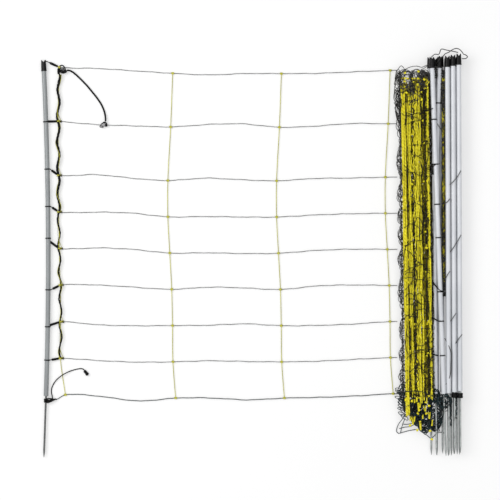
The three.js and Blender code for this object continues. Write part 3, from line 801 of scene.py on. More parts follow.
@dataclass
class Netting:
    """The stretched panel: nine lines, four uprights and a knot at each crossing.

    Attributes:
        line_radius: Radius of a line, in metres.
        bottom_radius: Radius of the bottom line.
        upright_radius: Radius of an upright.
        crimp: How far a line strays from its path.
        crimp_lengths: Lengths of the waves that it strays in.
        calm: How far from a knot it strays fully.
        strand_step: Distance between the points of a line.
    """

    line_radius: float = 1.15 * MM
    bottom_radius: float = 1.35 * MM
    upright_radius: float = 1.2 * MM
    crimp: float = 0.45 * MM
    crimp_lengths: Triple = (0.083, 0.047, 0.021)
    calm: float = 0.03
    strand_step: float = 1.3 * MM

    def __post_init__(self) -> None:
        """Reads the lines' paths and the knots' places from the frame."""
        self.paths = [rings_of(f"line_{number}", 0) for number in range(1, LINE_COUNT + 1)]
        self.knots = np.array([path[list(UPRIGHT_RINGS)] for path in self.paths])

    def crimped(self, path: Points, rng: Random, places: Points) -> Points:
        """The path with slight kinks, and none at the knots.

        Args:
            path: The points of the path.
            rng: Where the kinks come from.
            places: The knots on it.

        Returns:
            The points of the kinked path.
        """
        along = np.arange(len(path)) * self.strand_step
        stray = np.zeros(len(path))
        for length in self.crimp_lengths:
            stray += np.sin(math.tau * (along / length + rng.random())) * length / self.crimp_lengths[0]
        near = np.min(np.linalg.norm(path[:, None] - places[None], axis=2), axis=1)
        path = path.copy()
        path[:, 1] += self.crimp * stray * np.clip(near / self.calm, 0.0, 1.0)
        return path

    def build_lines(self) -> None:
        """Makes the nine lines, each a twisted polywire."""
        rng = np.random.default_rng(11)
        for number, rings in enumerate(self.paths, start=1):
            bottom = number == LINE_COUNT
            path = self.crimped(smooth_path(rings, self.strand_step), rng, self.knots[number - 1])
            form = Form()
            radius = self.bottom_radius if bottom else self.line_radius
            form.sweep(path, radius, *LINE_PLY, shade=0.55 if bottom else 0.1)
            finish = Finish.BOTTOM_LINE if bottom else Finish.LINE
            form.piece(f"polywire_{number}", finish, (f"line_{number}",), 60.0)

    def build_uprights(self) -> None:
        """Makes the four uprights with their knots."""
        rng = np.random.default_rng(23)
        for column in range(UPRIGHT_COUNT):
            places = self.knots[:, column]
            ring = UPRIGHT_RINGS[column]
            form = Form()
            path = smooth_path(places, self.strand_step)
            form.sweep(path, self.upright_radius, *UPRIGHT_PLY, shade=0.35)
            for row, place in enumerate(places):
                line = unit(self.paths[row][ring + 1] - self.paths[row][ring])
                Knot(place, line, 0.12 * rng.random(), 1.1).add_to(form)
            name = f"upright_{column + 1}"
            form.piece(f"yarn_{name}", Finish.STRETCHED, (name,), 60.0)


@dataclass
class Knot:
    """A knot of yarn round a line: three turns about the line and one about the upright.

    Attributes:
        place: Its middle.
        line: The way that the line runs.
        shade: How dark it is, from 0 to 1.
        size: Its size against a full one.
        yarn: Radius of its yarn, in metres.
        turn_radius: Radius of the turns about the line.
        half_length: Half the length of those turns.
        turns: How many they are.
        tie_turns: Turns about the upright.
        tie_size: Length, width and height of the turn about the upright.
    """

    place: Points
    line: Points
    shade: float = 0.1
    size: float = 1.0
    yarn: float = 1.05 * MM
    turn_radius: float = 1.85 * MM
    half_length: float = 2.9 * MM
    turns: float = 3.0
    tie_turns: float = 1.25
    tie_size: Triple = (4.4 * MM, 2.6 * MM, 1.8 * MM)

    def add_to(self, form: Form, sides: int = 7, steps: int = 46) -> None:
        """Adds the knot to a mesh.

        Args:
            form: The mesh.
            sides: Sides of the yarn's section.
            steps: Points along the yarn.
        """
        along = unit(np.array([self.line[0], self.line[1], 0.0]))
        across = np.cross(UP, along)
        t = np.linspace(0.0, 1.0, steps)
        angle = math.tau * self.turns * t
        reach = self.turn_radius * self.size
        coil = (
            self.place
            + ((t - 0.5) * 2 * self.half_length * self.size)[:, None] * along
            + (reach * np.cos(angle))[:, None] * across
            + (reach * np.sin(angle))[:, None] * UP
        )
        form.sweep(coil, self.yarn * self.size, sides, shade=self.shade)
        angle = math.tau * self.tie_turns * t
        long, wide, high = np.array(self.tie_size) * self.size
        tie = (
            self.place
            + ((t - 0.5) * long)[:, None] * across
            + (wide * np.cos(angle))[:, None] * along
            + (high * np.sin(angle))[:, None] * UP
        )
        form.sweep(tie, self.yarn * self.size * 0.95, sides, shade=self.shade)


@dataclass
class PostLine:
    """The middle line of a post, from the top of its cap to the point of its spike.

    Attributes:
        path: Points from the top down.
    """

    path: Points

    @classmethod
    def of(cls, name: str) -> PostLine:
        """Reads the line of a whole post, or of a plain one, from the frame.

        Args:
            name: Name of the post, such as post_1 or under_post_1.

        Returns:
            The post's line.
        """
        if name.startswith("under"):
            rings = rings_of(name, 1)
            return cls(np.array([rings[-1], rings[0]]))
        tube = rings_of(f"{name}_tube", 1)
        foot = rings_of(f"{name}_spike", 1)[0]
        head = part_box(f"{name}_cap")[1].y
        slope = (tube[-1] - tube[-2]) / (tube[-1, 1] - tube[-2, 1])
        top = tube[-1] + slope * (head - tube[-1, 1])
        return cls(np.vstack([foot, tube, top])[::-1])

    def at(self, distance: float) -> Points:
        """The point at a distance below the top of the cap."""
        return spots_on(self.path, lengths_along(self.path), distance)

    def at_height(self, y: float) -> Points:
        """The point at a height up the fence."""
        rising = self.path[::-1]
        return spots_on(rising, rising[:, 1], y)

    def up_at(self, y: float, reach: float) -> Points:
        """The way up the post at a height, from so far below it to so far above it."""
        return unit(self.at_height(y + reach) - self.at_height(y - reach))

    def up(self, distance: float) -> Points:
        """The way up the post at a distance below its top."""
        return unit(self.at(max(distance - 5 * MM, 0.0)) - self.at(distance + 5 * MM))


@dataclass
class Post:
    """A post: a drawn tube, a ribbed cap with a notch and a galvanised spike.

    Attributes:
        name: Name of the post in the frame.
        tube_radius: Radius of the tube, in metres.
        run: Where the tube ends, below the top of the cap.
        cap_length: Length of the cap.
        seat: How far the tube reaches into the cap.
        foot_round: How far the tube's foot is rounded off, along it and across.
        rib_count: Ribs round the cap.
        rib_height: Their height, as a share of the radius.
        notch_depth: Depth of the notch across the cap.
        notch_half: Half its width.
        cap_rings: Radius and height of the cap's rings, in millimetres, and whether they have ribs.
        spike_rings: Radius and height of the spike's rings, in millimetres.
        spike_length: Length of the spike below the tube.
        stain_length: How much of it is stained dark at the point.
    """

    name: str
    tube_radius: float = 6.5 * MM
    run: float = 927 * MM
    cap_length: float = 31 * MM
    seat: float = 8 * MM
    foot_round: tuple[float, float] = (0.7 * MM, 0.6 * MM)
    rib_count: int = 16
    rib_height: float = 0.012
    notch_depth: float = 6.4 * MM
    notch_half: float = 4.6 * MM
    cap_rings: tuple[tuple[float, float, bool], ...] = (
        (6.7, 0.0, False), (7.45, 0.0, False), (7.7, 0.35, False), (7.7, 2.4, False),
        (7.45, 3.4, False), (7.3, 4.6, True), (7.15, 12.0, True), (7.0, 19.5, True),
        (6.8, 21.5, False), (6.6, 25.0, False), (6.5, 29.6, False), (6.1, 30.7, False),
        (5.3, 31.0, False), (4.2, 31.0, False), (3.0, 31.0, False), (1.5, 31.0, False),
        (0.0, 31.0, False),
    )
    spike_rings: Profile = (
        (0.0, -170.0), (0.5, -169.3), (1.4, -163.5), (2.3, -157.0), (2.75, -151.0), (2.75, -120.0),
        (2.7, -80.0), (2.75, -40.0), (2.75, 0.0), (2.75, 20.0), (0.0, 20.0),
    )
    spike_length: float = 170 * MM
    stain_length: float = 26 * MM

    def __post_init__(self) -> None:
        """Reads the post's line."""
        self.line = PostLine.of(self.name)

    def tube_form(self, steps: int = 24) -> Form:
        """The tube, with a rounded foot.

        Args:
            steps: Rings along the tube.

        Returns:
            Its mesh.
        """
        form = Form()
        stops = np.linspace(self.cap_length - self.seat, self.run, steps)
        path = np.array([self.line.at(stop) for stop in stops])
        edge = self.line.at(self.run - self.foot_round[0])
        path = np.vstack([path[:-1], edge, path[-1]])
        radius = np.full(len(path), self.tube_radius)
        radius[-1] -= self.foot_round[1]
        form.sweep(path, radius, 40, shade=0.2)
        return form

    def cap_form(self, sides: int = 64) -> Form:
        """The cap: flared rim, shallow ribs, rounded nose and the notch across it.

        Args:
            sides: Points round each ring.

        Returns:
            Its mesh.
        """
        form = Form()
        up = self.line.up(self.cap_length)
        right, left = axes_round(up)
        base = self.line.at(self.cap_length)
        rings = []
        for radius, height, ribbed in self.cap_rings:
            angle = math.tau * np.arange(sides if radius else 1) / sides
            reach = radius * MM * (1 + self.rib_height * ribbed * np.cos(self.rib_count * angle))
            across = reach * np.cos(angle)
            cut = self.notch_depth * np.clip(1 - np.abs(across) / self.notch_half, 0.0, 1.0)
            top = np.minimum(height * MM, self.cap_length - cut)
            sideways = across[:, None] * right + (reach * np.sin(angle))[:, None] * left
            rings.append(base + sideways + top[:, None] * up)
        form.loft(rings, closed=True)
        return form

    def spike_form(self) -> Form:
        """The spike: a round rod with a forged point.

        Returns:
            Its mesh.
        """
        form = Form()
        up = self.line.up(self.run + 20 * MM)
        form.turned(self.spike_rings, self.line.at(self.run), up, 24, 0.4)
        tips = form.values[-1]
        worn = np.clip(1.0 - (tips[:, 0] + self.spike_length) / self.stain_length, 0.0, 1.0)
        tips[:, 2] = worn * 0.6 + 0.3
        return form

    def build(self) -> None:
        """Makes the post's pieces."""
        plain = self.name.startswith("under")
        ended = self.name == "end_post"
        for part, form, finish in (
            ("tube", self.tube_form(), Finish.END_TUBE if ended else Finish.TUBE),
            ("cap", self.cap_form(), Finish.CAP),
            ("spike", self.spike_form(), Finish.END_STEEL if ended else Finish.STEEL),
        ):
            replaced = self.name if plain else f"{self.name}_{part}"
            form.piece(f"{self.name}_{part}_dressed", finish, (replaced,), 38.0)


@dataclass
class EndFittings:
    """What holds the lines to the end post, and the wiring on the end upright.

    Attributes:
        netting: The stretched panel.
        ring_radius: Where an arm leaves its ring, from the post's middle line, in metres.
        knot_gap: How far before a knot an arm ends.
        ring: Section of a clip's ring, as radius and height in millimetres.
        lug: Profile of a clip's arm and lug, from the ring.
        lug_end: The end of the arm, from its tail.
        sleeve: Profile of the sleeve beyond a knot.
        corner: Profile of the corner tie, from the cap.
        corner_end: The end of the corner tie, from its tail.
        blocks: Middle, half sizes and top of the connector's mouldings, from the top knot.
        block_rings: Size and height of a moulding's rings, as shares.
        block_power: How square a moulding is in plan; 1 is round.
        connector_ropes: Route and radius of the cords about the connector.
        rivets: Place and radius of the connector's metal parts.
        cable_turn: Length of one turn of the cable's strands.
        wrap_turn: Length of one turn of the yarn round the cable.
        ear: Route of the yarn's ear beside a knot.
        wires: Place along the rows, reach and side of the bare wires beside the cable.
        foot_loops: Middle, half sizes, tilt and height of the foot tie's loops.
    """

    netting: Netting
    ring_radius: float = 7.5 * MM
    knot_gap: float = 4.4 * MM
    ring: Profile = (
        (6.75, -1.3), (7.5, -1.6), (8.1, -1.2), (8.3, 0.0), (8.1, 1.2), (7.5, 1.6), (6.75, 1.3),
        (6.75, -1.3),
    )
    lug: Profile = (
        (0.0, -0.3), (1.35, -0.3), (1.25, 3.0), (1.5, 5.0), (2.6, 6.0), (3.5, 7.2), (3.6, 9.2),
        (2.9, 10.2), (3.6, 11.3), (3.4, 13.0),
    )
    lug_end: Profile = ((3.2, -3.0), (3.0, -0.8), (2.5, 0.0), (0.0, 0.0))
    sleeve: Profile = (
        (0.0, 3.6), (2.1, 3.6), (2.6, 4.6), (2.5, 7.4), (1.9, 8.6), (1.35, 10.2), (0.0, 10.2),
    )
    corner: Profile = (
        (0.0, -3.0), (1.1, -3.0), (1.15, 8.0), (1.9, 10.2), (3.1, 11.4), (3.6, 13.6), (3.0, 15.4),
        (3.6, 17.2),
    )
    corner_end: Profile = ((3.4, -9.0), (2.9, -4.0), (2.9, -1.0), (2.4, 0.0), (0.0, 0.0))
    blocks: tuple[tuple[tuple[float, float], tuple[float, float], float], ...] = (
        ((12.6, -12.6), (9.2, 4.9), 12.6), ((-1.2, -12.0), (3.8, 8.0), 11.2),
        ((6.6, -8.6), (8.0, 6.4), 8.8),
    )
    block_rings: Profile = ((0.8, 0.0), (0.96, 0.1), (1.0, 0.35), (1.0, 0.62), (0.86, 0.85), (0.55, 1.0))
    block_power: float = 0.7
    connector_ropes: tuple[tuple[Route, float], ...] = (
        (((1.5, 2.2, 8.2), (6, 4.6, 9.5), (11.5, 3.2, 10), (15.5, -2, 10), (17.5, -8, 10.2),
          (18, -12, 10.5)), 1.9),
        (((-1, -15, 9.5), (0.6, -20, 9.2), (2.4, -25, 8.6)), 2.5),
        (((-2, -3, 9), (-3.2, -7, 10.6), (-2.4, -12, 11.6), (1, -16.5, 10)), 1.4),
        (((-4.6, -6, 9), (-1, -8, 11.5), (4, -9, 11.5), (9, -13, 12.4)), 1.2),
        (((3, -14, 11), (9, -17.4, 10.6), (15, -17, 10.6), (21, -12.6, 10)), 1.3),
    )
    rivets: tuple[tuple[float, float, float, float], ...] = (
        (8.2, -4.4, 8.6, 3.2), (12.2, -9.2, 11.4, 2.4), (4.8, -7.6, 9.4, 2.0),
    )
    cable_turn: float = 0.034
    wrap_turn: float = 0.118
    ear: Route = (
        (-0.4, 23, 4.5), (2.6, 14, 5.6), (5.6, 6.5, 6.2), (7.4, 1.5, 5.4), (4.5, -0.4, 5.4),
        (1.0, 0.2, 6.2),
    )
    wires: tuple[tuple[float, float, int], ...] = ((0.35, 4.6, -1), (3.55, 3.0, -1), (5.4, 2.6, 1),
                                                   (6.45, 3.2, -1))
    foot_loops: tuple[tuple[float, ...], ...] = (
        (8.5, 2.6, 12.5, 3.2, 0.05, 1.5), (7.0, -2.4, 11.0, 3.0, 0.16, -0.6),
        (10.5, 0.6, 13.5, 3.4, 0.1, 0.6), (4.5, -4.2, 8.0, 2.2, 0.1, 1.8),
    )

    def __post_init__(self) -> None:
        """Reads the end post's line and the top knot's place."""
        self.post = PostLine.of("end_post")
        self.top_knot = self.netting.knots[0, 0]

    def clip_axis(self, row: int) -> tuple[Points, Points, Points]:
        """Where the clip of a line runs.

        Args:
            row: The line's place from the top, from 0.

        Returns:
            The middle of the ring, the root of the arm and the knot that it holds.
        """
        knot = self.netting.knots[row, 0]
        back = unit(self.netting.paths[row][0] - knot)
        spots = knot + np.linspace(8 * MM, 60 * MM, 600)[:, None] * back
        middles = self.post.at_height(spots[:, 1])
        gaps = np.hypot(spots[:, 0] - middles[:, 0], spots[:, 2] - middles[:, 2]) - self.ring_radius
        root = spots[int(np.argmin(np.abs(gaps)))]
        return self.post.at_height(root[1]), root, knot

    def clip_form(self, row: int) -> Form:
        """One line clip: ring, neck, ridged lug and the sleeve beyond the knot.

        Args:
            row: The line's place from the top, from 0.

        Returns:
            Its mesh.
        """
        middle, root, knot = self.clip_axis(row)
        form = Form()
        turn = np.linspace(0.0, math.tau, 49)[4:-4, None]
        up = self.post.up_at(middle[1], 5 * MM)
        right, left = axes_round(up)
        form.turned(self.ring, middle, up, 48)
        coil = middle + 7.9 * MM * (np.cos(turn) * right - np.sin(turn) * left)
        form.sweep(coil + up * 0.9 * MM, 0.35 * MM, 6)
        tail = (np.linalg.norm(knot - root) - self.knot_gap) / MM
        profile = self.lug + tuple((radius, tail + height) for radius, height in self.lug_end)
        form.turned(profile, root, knot - root, 20)
        beyond = unit(self.netting.paths[row][UPRIGHT_RINGS[0] + 1] - knot)
        form.turned(self.sleeve, knot, beyond, 16)
        for side in (-1.0, 1.0):
            prong = unit(beyond + side * 0.9 * np.array([-beyond[1], beyond[0], 0.0]))
            start = knot + beyond * 5.5 * MM
            form.sweep(np.array([start, start + prong * 3.4 * MM, start + prong * 5.2 * MM]), 0.75 * MM, 8)
        return form

    def build_clips(self) -> None:
        """Makes the seven line clips."""
        for number in range(2, LINE_COUNT):
            form = self.clip_form(number - 1)
            name = f"clip_{number}_dressed"
            form.piece(name, Finish.PLASTIC, (f"line_clip_{number}",))

    def build_corner(self) -> None:
        """Makes the corner tie."""
        low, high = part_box("corner_tie")
        root = np.array([low.x + 0.4 * MM, high.y - 1.2 * MM, 7.9 * MM])
        along = self.top_knot - root
        tail = (np.linalg.norm(along) - self.knot_gap) / MM
        form = Form()
        profile = self.corner + tuple((radius, tail + height) for radius, height in self.corner_end)
        form.turned(profile, root, along, 20)
        form.piece("corner_tie_dressed", Finish.PLASTIC, ("corner_tie",))

    def build_connector(self, sides: int = 48) -> None:
        """Makes the connector: a moulded body, a tongue, a loop over the knot and a clamp of metal.

        Args:
            sides: Points round each moulding.
        """
        knot = self.top_knot
        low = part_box("corner_connector")[0].z
        body = Form()
        angle = math.tau * np.arange(sides) / sides
        round_plan = np.array([np.cos(angle), np.sin(angle)])
        plan_x, plan_y = np.sign(round_plan) * np.abs(round_plan) ** self.block_power
        for centre, half, top in self.blocks:
            body.loft([np.stack([
                knot[0] + (centre[0] + half[0] * share * plan_x) * MM,
                knot[1] + (centre[1] + half[1] * share * (plan_y + 0.12 * plan_x)) * MM,
                np.full(sides, low + height * (top * MM - low)),
            ], axis=1) for share, height in self.block_rings], closed=True)
        for route, radius in self.connector_ropes:
            body.rope(route, radius, *CONNECTOR_PLY, step=0.8, origin=knot * (1, 1, 0))
        body.piece("connector_body", Finish.PLASTIC, ("corner_connector",))
        metal = Form()
        for x, y, z, reach in self.rivets:
            profile = ((0.0, -1.4), (reach, -1.4), (reach, 0.4), (reach - 0.6, 0.9), (0.6, 0.9), (0.0, 0.5))
            metal.turned(profile, knot * (1, 1, 0) + point(x, y, z), (0.15, -0.2, 1.0), 24, 0.75)
        metal.piece("connector_metal", Finish.WIRE)

    def build_cable(self, step: float = 2.0 * MM) -> None:
        """Makes the link cable: three strands wound about its route, thinner below the fourth line.

        Args:
            step: Distance between the points of its route, in metres.
        """
        path = smooth_path(rings_of("link_cable", 1)[::-1], step)
        along = np.arange(len(path)) * step
        slim = np.clip((path[:, 1] - self.netting.knots[3, 0][1]) / 0.06 + 0.5, 0.0, 1.0)
        strand = (1.35 + 0.6 * slim) * MM
        offset = (1.2 + 0.5 * slim) * MM
        form = Form()
        _, normals, binormals = frames_along(path[None])
        for third in range(3):
            angle = math.tau * (along / self.cable_turn + third / 3)[:, None]
            turn = np.cos(angle) * normals[0] + np.sin(angle) * binormals[0]
            form.sweep(path + offset[:, None] * turn, strand, 7, shade=0.4)
        form.piece("link_cable_dressed", Finish.CABLE, ("link_cable",))
        self.wrap_cable(path, along, offset, strand)
        loops = Form()
        t = np.linspace(0.0, 1.0, 30)[:, None]
        bow = np.sin(math.pi * t)
        for row, reach, side in self.wires:
            above, below = self.netting.knots[int(row):int(row) + 2, 0]
            spot = above * (1 - row % 1) + below * (row % 1)
            route = np.hstack([side * reach * bow - 0.5, 44 * (0.5 - t), 4.2 + 1.5 * bow])
            loops.sweep(spot + route * MM, 0.42 * MM, 6, shade=0.2)
        loops.piece("link_cable_wires", Finish.WIRE)

    def wrap_cable(self, path: Points, along: Points, offset: Points, strand: Points) -> None:
        """Makes the yarn wound round the cable, its ears and its crosses at the knots.

        Args:
            path: The cable's route.
            along: Distance of each point of it.
            offset: How far the cable's strands lie from it.
            strand: Their radius.
        """
        yarn = Form()
        angle = math.tau * along / self.wrap_turn + 0.6
        reach = offset + strand + 0.3 * MM
        wrap = path + np.stack([reach * np.sin(angle), 0.0 * along, reach * np.cos(angle)], axis=1)
        yarn.sweep(wrap, 0.95 * MM, *EAR_PLY, shade=0.35)
        for knot in self.netting.knots[1:-1, 0]:
            spot = knot * (1, 1, 0)
            yarn.rope(self.ear, 0.8, *EAR_PLY, step=1.2, shade=0.6, origin=spot)
            near = int(np.argmin(np.abs(path[:, 1] - knot[1])))
            top = (path[near, 2] + offset[near] + strand[near]) / MM + 0.7
            for hand in (-1.0, 1.0):
                middle = (top + 5) / 2
                turn = [(-4.6, -3.0 * hand, 5), (-2.6, -1.7 * hand, middle), (0, 0, top),
                        (2.6, 1.7 * hand, middle), (4.6, 3.0 * hand, 5)]
                yarn.rope(turn, 1.15, *CROSS_PLY, step=1.0, shade=0.3, origin=spot)
        yarn.piece("end_upright_ears", Finish.STRETCHED)

    def build_foot(self) -> None:
        """Makes the tie wound round the spike, with the arm that holds the bottom line."""
        line = self.netting.paths[-1]
        centre = self.post.at_height(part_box("foot_tie")[0].y + 5.8 * MM)
        form = Form()
        t = np.linspace(0.0, 1.0, 150)
        angle = math.tau * 4.2 * t
        reach = 4.0 + 0.7 * np.sin(5.1 * angle / 4.2) ** 2
        coil = np.stack([reach * np.cos(angle), (t - 0.5) * 10.5, reach * np.sin(angle)], axis=1)
        form.sweep(centre + coil * MM, 1.35 * MM, *TIE_PLY, shade=0.3)
        turn = np.linspace(0.0, math.tau, 60)
        for x, y, long, wide, tilt, z in self.foot_loops:
            loop = tilted_loop(turn, long, wide, tilt, z + 1.6 * np.cos(turn))
            form.sweep(centre + (loop + (x, y, 0)) * MM, 1.35 * MM, *TIE_PLY, shade=0.3)
        end = line[0] + unit(line[1] - line[0]) * 5 * MM
        start = centre + point(12.0, 1.0, -1.0)
        bend = smooth_path(np.array([start, (start + end) / 2 + point(0, 0.8, 0.3), end]), 1.2 * MM)
        form.sweep(bend, 2.3 * MM, *ARM_PLY, shade=0.3)
        form.piece("foot_tie_dressed", Finish.PLASTIC, ("foot_tie",))


@dataclass
class Leads:
    """The top lead with its clip and the bottom lead with its plug.

    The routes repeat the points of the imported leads, in millimetres, from the bottom of the end upright.

    Attributes:
        top_diameter: Diameter of the top lead, in metres.
        bottom_diameter: Diameter of the bottom lead.
        shift: Where the routes start from, in millimetres.
        top_route: Route of the top lead.
        bottom_route: Route of the bottom lead.
        clip_frame: The clip's frame, from its middle, starting with the straight arm's end.
        clip_hub: Profile of the roller on the straight arm.
        jaw: Route of the metal jaw.
        bar: Route of the metal bar.
        plug_lug: Profile of the lugs on the plug's sides.
        pin: Profile of the plug's pin.
    """

    top_diameter: float = 5.0 * MM
    bottom_diameter: float = 3.0 * MM
    shift: Triple = (-528.043, -391.712, 0.0)
    top_route: Route = (
        (19.9, 903.5, 10.05), (27, 903.2, 9.65), (34.5, 899.6, 8), (44, 892.3, 5.2), (54, 883, 3.2),
        (64.3, 872.7, 2.8), (76, 860.3, 2.8), (86.7, 847.3, 2.8), (97.5, 834.2, 2.8), (106.5, 821.9, 2.8),
        (113.8, 810.8, 2.8), (119.2, 799.3, 2.8), (122.8, 789.4, 3.2), (125, 779.7, 5), (126, 771.5, 6.6),
        (126.2, 763.2, 7.4),
    )
    bottom_route: Route = (
        (-20.25, -1.32, 5.24), (-21.5, 6, 4.2), (-23.3, 15, 1.8), (-22.8, 26, 1.8), (-18, 38, 1.8),
        (-10, 49.5, 3.6), (2, 60, 6.2), (15.5, 68.4, 6.2), (29, 74.5, 3.4), (41, 78.2, 1.8),
        (52, 80.6, 1.8), (60, 81, 2.5), (65, 79.2, 3.6), (68, 75.4, 4),
    )
    clip_frame: Route = (
        (9.2, -4.8, -0.4), (1.1, -5.6, 0), (-4.4, -6.6, 0), (-9.2, -5.2, 0), (-5.8, 1.9, 0.4),
        (-0.3, 6.2, 0.4), (5.2, 6.9, 0.4), (8.8, 3.3, 0.2),
    )
    clip_hub: Profile = ((0, -4.0), (2.2, -4.0), (2.5, -3.0), (2.5, 3.0), (2.1, 4.0), (0, 4.0))
    jaw: Route = ((-6.6, -4.2, 0.2), (-3.2, -1.8, 0.4), (-0.6, 1.0, 0.5))
    bar: Route = ((-5.4, -5.0, 0.0), (0.6, -3.9, 0.3), (6.0, -3.6, 0.0))
    plug_lug: Profile = ((0, -1.4), (1.5, -1.4), (1.7, -0.8), (1.7, 0.8), (1.5, 1.4), (0, 1.4))
    pin: Profile = ((0, 15.0), (1.3, 15.0), (1.3, 16.0), (0.9, 16.4), (0, 16.4))

    def lead(
        self,
        node: str,
        route: Route,
        diameter: float,
        ends: list[bpy.types.Object],
    ) -> None:
        """Args:
            node: The lead's node in the frame.
            route: Points that it follows, in millimetres.
            diameter: Its diameter, in metres.
            ends: The pieces on its far end; not used.
        """
        path = smooth_path((np.array(route) + self.shift) * MM, 1.5 * MM)
        form = Form()
        form.sweep(path, diameter / 2, 16, shade=0.3)
        piece = form.piece(f"{node}_dressed", Finish.CABLE, (node,))

    def clip(self) -> list[bpy.types.Object]:
        """Makes the top lead's clip: a D frame, its jaw and a bar.

        Returns:
            Its pieces.
        """
        low, high = (np.array(corner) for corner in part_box("top_lead_clip"))
        middle = (low + high) / 2
        form = Form()
        form.rope(self.clip_frame[1:], 1.2, 12, step=0.8, origin=middle)
        form.rope(self.clip_frame[-3:] + self.clip_frame[:1], 2.1, 12, step=0.8, origin=middle)
        form.turned(self.clip_hub, middle + point(7.4, -1.0, 0.0), (0.05, 1, 0), 20)
        frame = form.piece("top_lead_clip_dressed", Finish.PLASTIC, ("top_lead_clip",))
        metal = Form()
        turn = np.linspace(0.0, math.tau, 32)
        eye = np.stack([1.4 + 3.0 * np.cos(turn), 1.6 + 2.6 * np.sin(turn), np.full(32, 0.4)], axis=1)
        metal.sweep(middle + eye * MM, 1.25 * MM, 10, shade=0.3)
        metal.rope(self.jaw, 1.5, 10, step=0.8, shade=0.45, origin=middle)
        metal.rope(self.bar, 1.2, 10, step=0.8, origin=middle)
        return [frame, metal.piece("top_lead_clip_metal", Finish.WIRE)]

    def plug(self) -> list[bpy.types.Object]:
        """Makes the bottom lead's plug: a ridged grip, a shoulder and a pin.

        Returns:
            Its pieces.
        """
        route = np.array(self.bottom_route)
        aim = unit(np.array([*(route[-1] - route[-2])[:2], 0.0]))
        start = (route[-1] + self.shift) * MM
        form = Form()
        grip = [(0.0, -0.6), (3.2, -0.6), (4.0, 0.4)]
        for ridge in 1.8 * np.arange(5):
            grip += [(4.35, 1.4 + ridge), (4.35, 2.3 + ridge), (4.0, 2.7 + ridge)]
        grip += [(4.4, 10.9), (4.4, 14.0), (3.9, 14.8), (2.6, 15.0), (0.0, 15.0)]
        form.turned(grip, start, aim, 24)
        for side in (-np.cross(UP, aim), np.cross(UP, aim)):
            form.turned(self.plug_lug, start + aim * 11.5 * MM + side * 3.6 * MM, side, 16)
        name = "bottom_lead_plug"
        body = form.piece(f"{name}_dressed", Finish.PLASTIC, (name,))
        metal = Form()
        metal.turned(self.pin, start, aim, 16, 0.6)
        return [body, metal.piece(f"{name}_pin", Finish.WIRE)]

    def build(self) -> None:
        """Makes both leads with their ends."""
        self.lead("top_lead", self.top_route, self.top_diameter, self.clip())
        self.lead("bottom_lead", self.bottom_route, self.bottom_diameter, self.plug())


class Run(Enum):
    """Which way crumpled cord mostly runs."""

    ALONG = math.pi / 2
    SLANTED = math.pi / 4
    ACROSS = 0.0


@dataclass(frozen=True)
class Tangle:
    """Crumpled cords that stay inside a box.

    Attributes:
        low: The box's lowest corner, in millimetres.
        high: The box's highest corner, in millimetres.
        count: How many cords there are.
        length: Length of a cord, in millimetres.
        run: Which way they mostly run.
        bend: How hard they bend at each step, in radians.
        pull: How strongly they turn back to their way, from 0 to 1.
        step: Distance between the points of a cord, in millimetres.
        round: Whether the cords fill a round patch of the box.
    """

    low: Triple
    high: Triple
    count: int
    length: float = 130.0
    run: Run = Run.ALONG
    bend: float = 0.55
    pull: float = 0.12
    step: float = 3.2
    round: bool = False

    def paths(self, rng: Random) -> Points:
        """The cords' paths.

        Args:
            rng: Where the bends come from.

        Returns:
            Paths as an array of path, point and x, y, z, in metres.
        """
        steps = int(self.length / self.step)
        low, high = np.array(self.low), np.array(self.high)
        size = high - low
        aim = self.run.value + math.pi * rng.integers(0, 2, self.count)
        stray = rng.normal(0.0, 0.5, self.count)
        turn = rng.normal(0.0, self.bend, self.count)
        place = rng.random((self.count, 3)) * size
        climb = rng.normal(0.0, 0.2, self.count)
        route = []
        for _ in range(steps):
            route.append(place.copy())
            turn = 0.72 * turn + 0.7 * rng.normal(0.0, self.bend, self.count)
            stray = stray * (1 - self.pull) + turn
            climb = 0.85 * climb + rng.normal(0.0, 0.14, self.count)
            heading = aim + stray
            place[:, 0] += self.step * np.cos(heading)
            place[:, 1] += self.step * np.sin(heading)
            place[:, 2] += self.step * climb
        folded = -np.cos(math.pi * np.stack(route, axis=1) / size)
        if self.round:
            ragged = 0.78 + 0.36 * rng.random((self.count, 1))
            x, y = folded[..., 0] * ragged, folded[..., 1] * ragged
            folded[..., 0] = x * np.sqrt(1 - np.clip(y, -1, 1) ** 2 / 2)
            folded[..., 1] = y * np.sqrt(1 - np.clip(x, -1, 1) ** 2 / 2)
        return (low + (0.5 + 0.5 * folded) * size) * MM


@dataclass(frozen=True)
class Strands:
    """A band of the gathered uprights.

    Attributes:
        left: Where it begins across the bunch, from 0 to 1.
        right: Where it ends across the bunch.
        low: Its lowest height, in millimetres.
        high: Its greatest height, in millimetres.
        count: How many uprights it holds.
        head: Where they begin, in millimetres.
        foot: Where they end, in millimetres.
        dark: How dark they are, from 0 to 1; this is painted shade, set high for the bands that lie low or
            under others.
        stray: How far they wander, as a share of the bunch's width.
    """

    left: float
    right: float
    low: float
    high: float
    count: int
    head: float = 506.0
    foot: float = -386.0
    dark: float = 0.1
    stray: float = 0.012


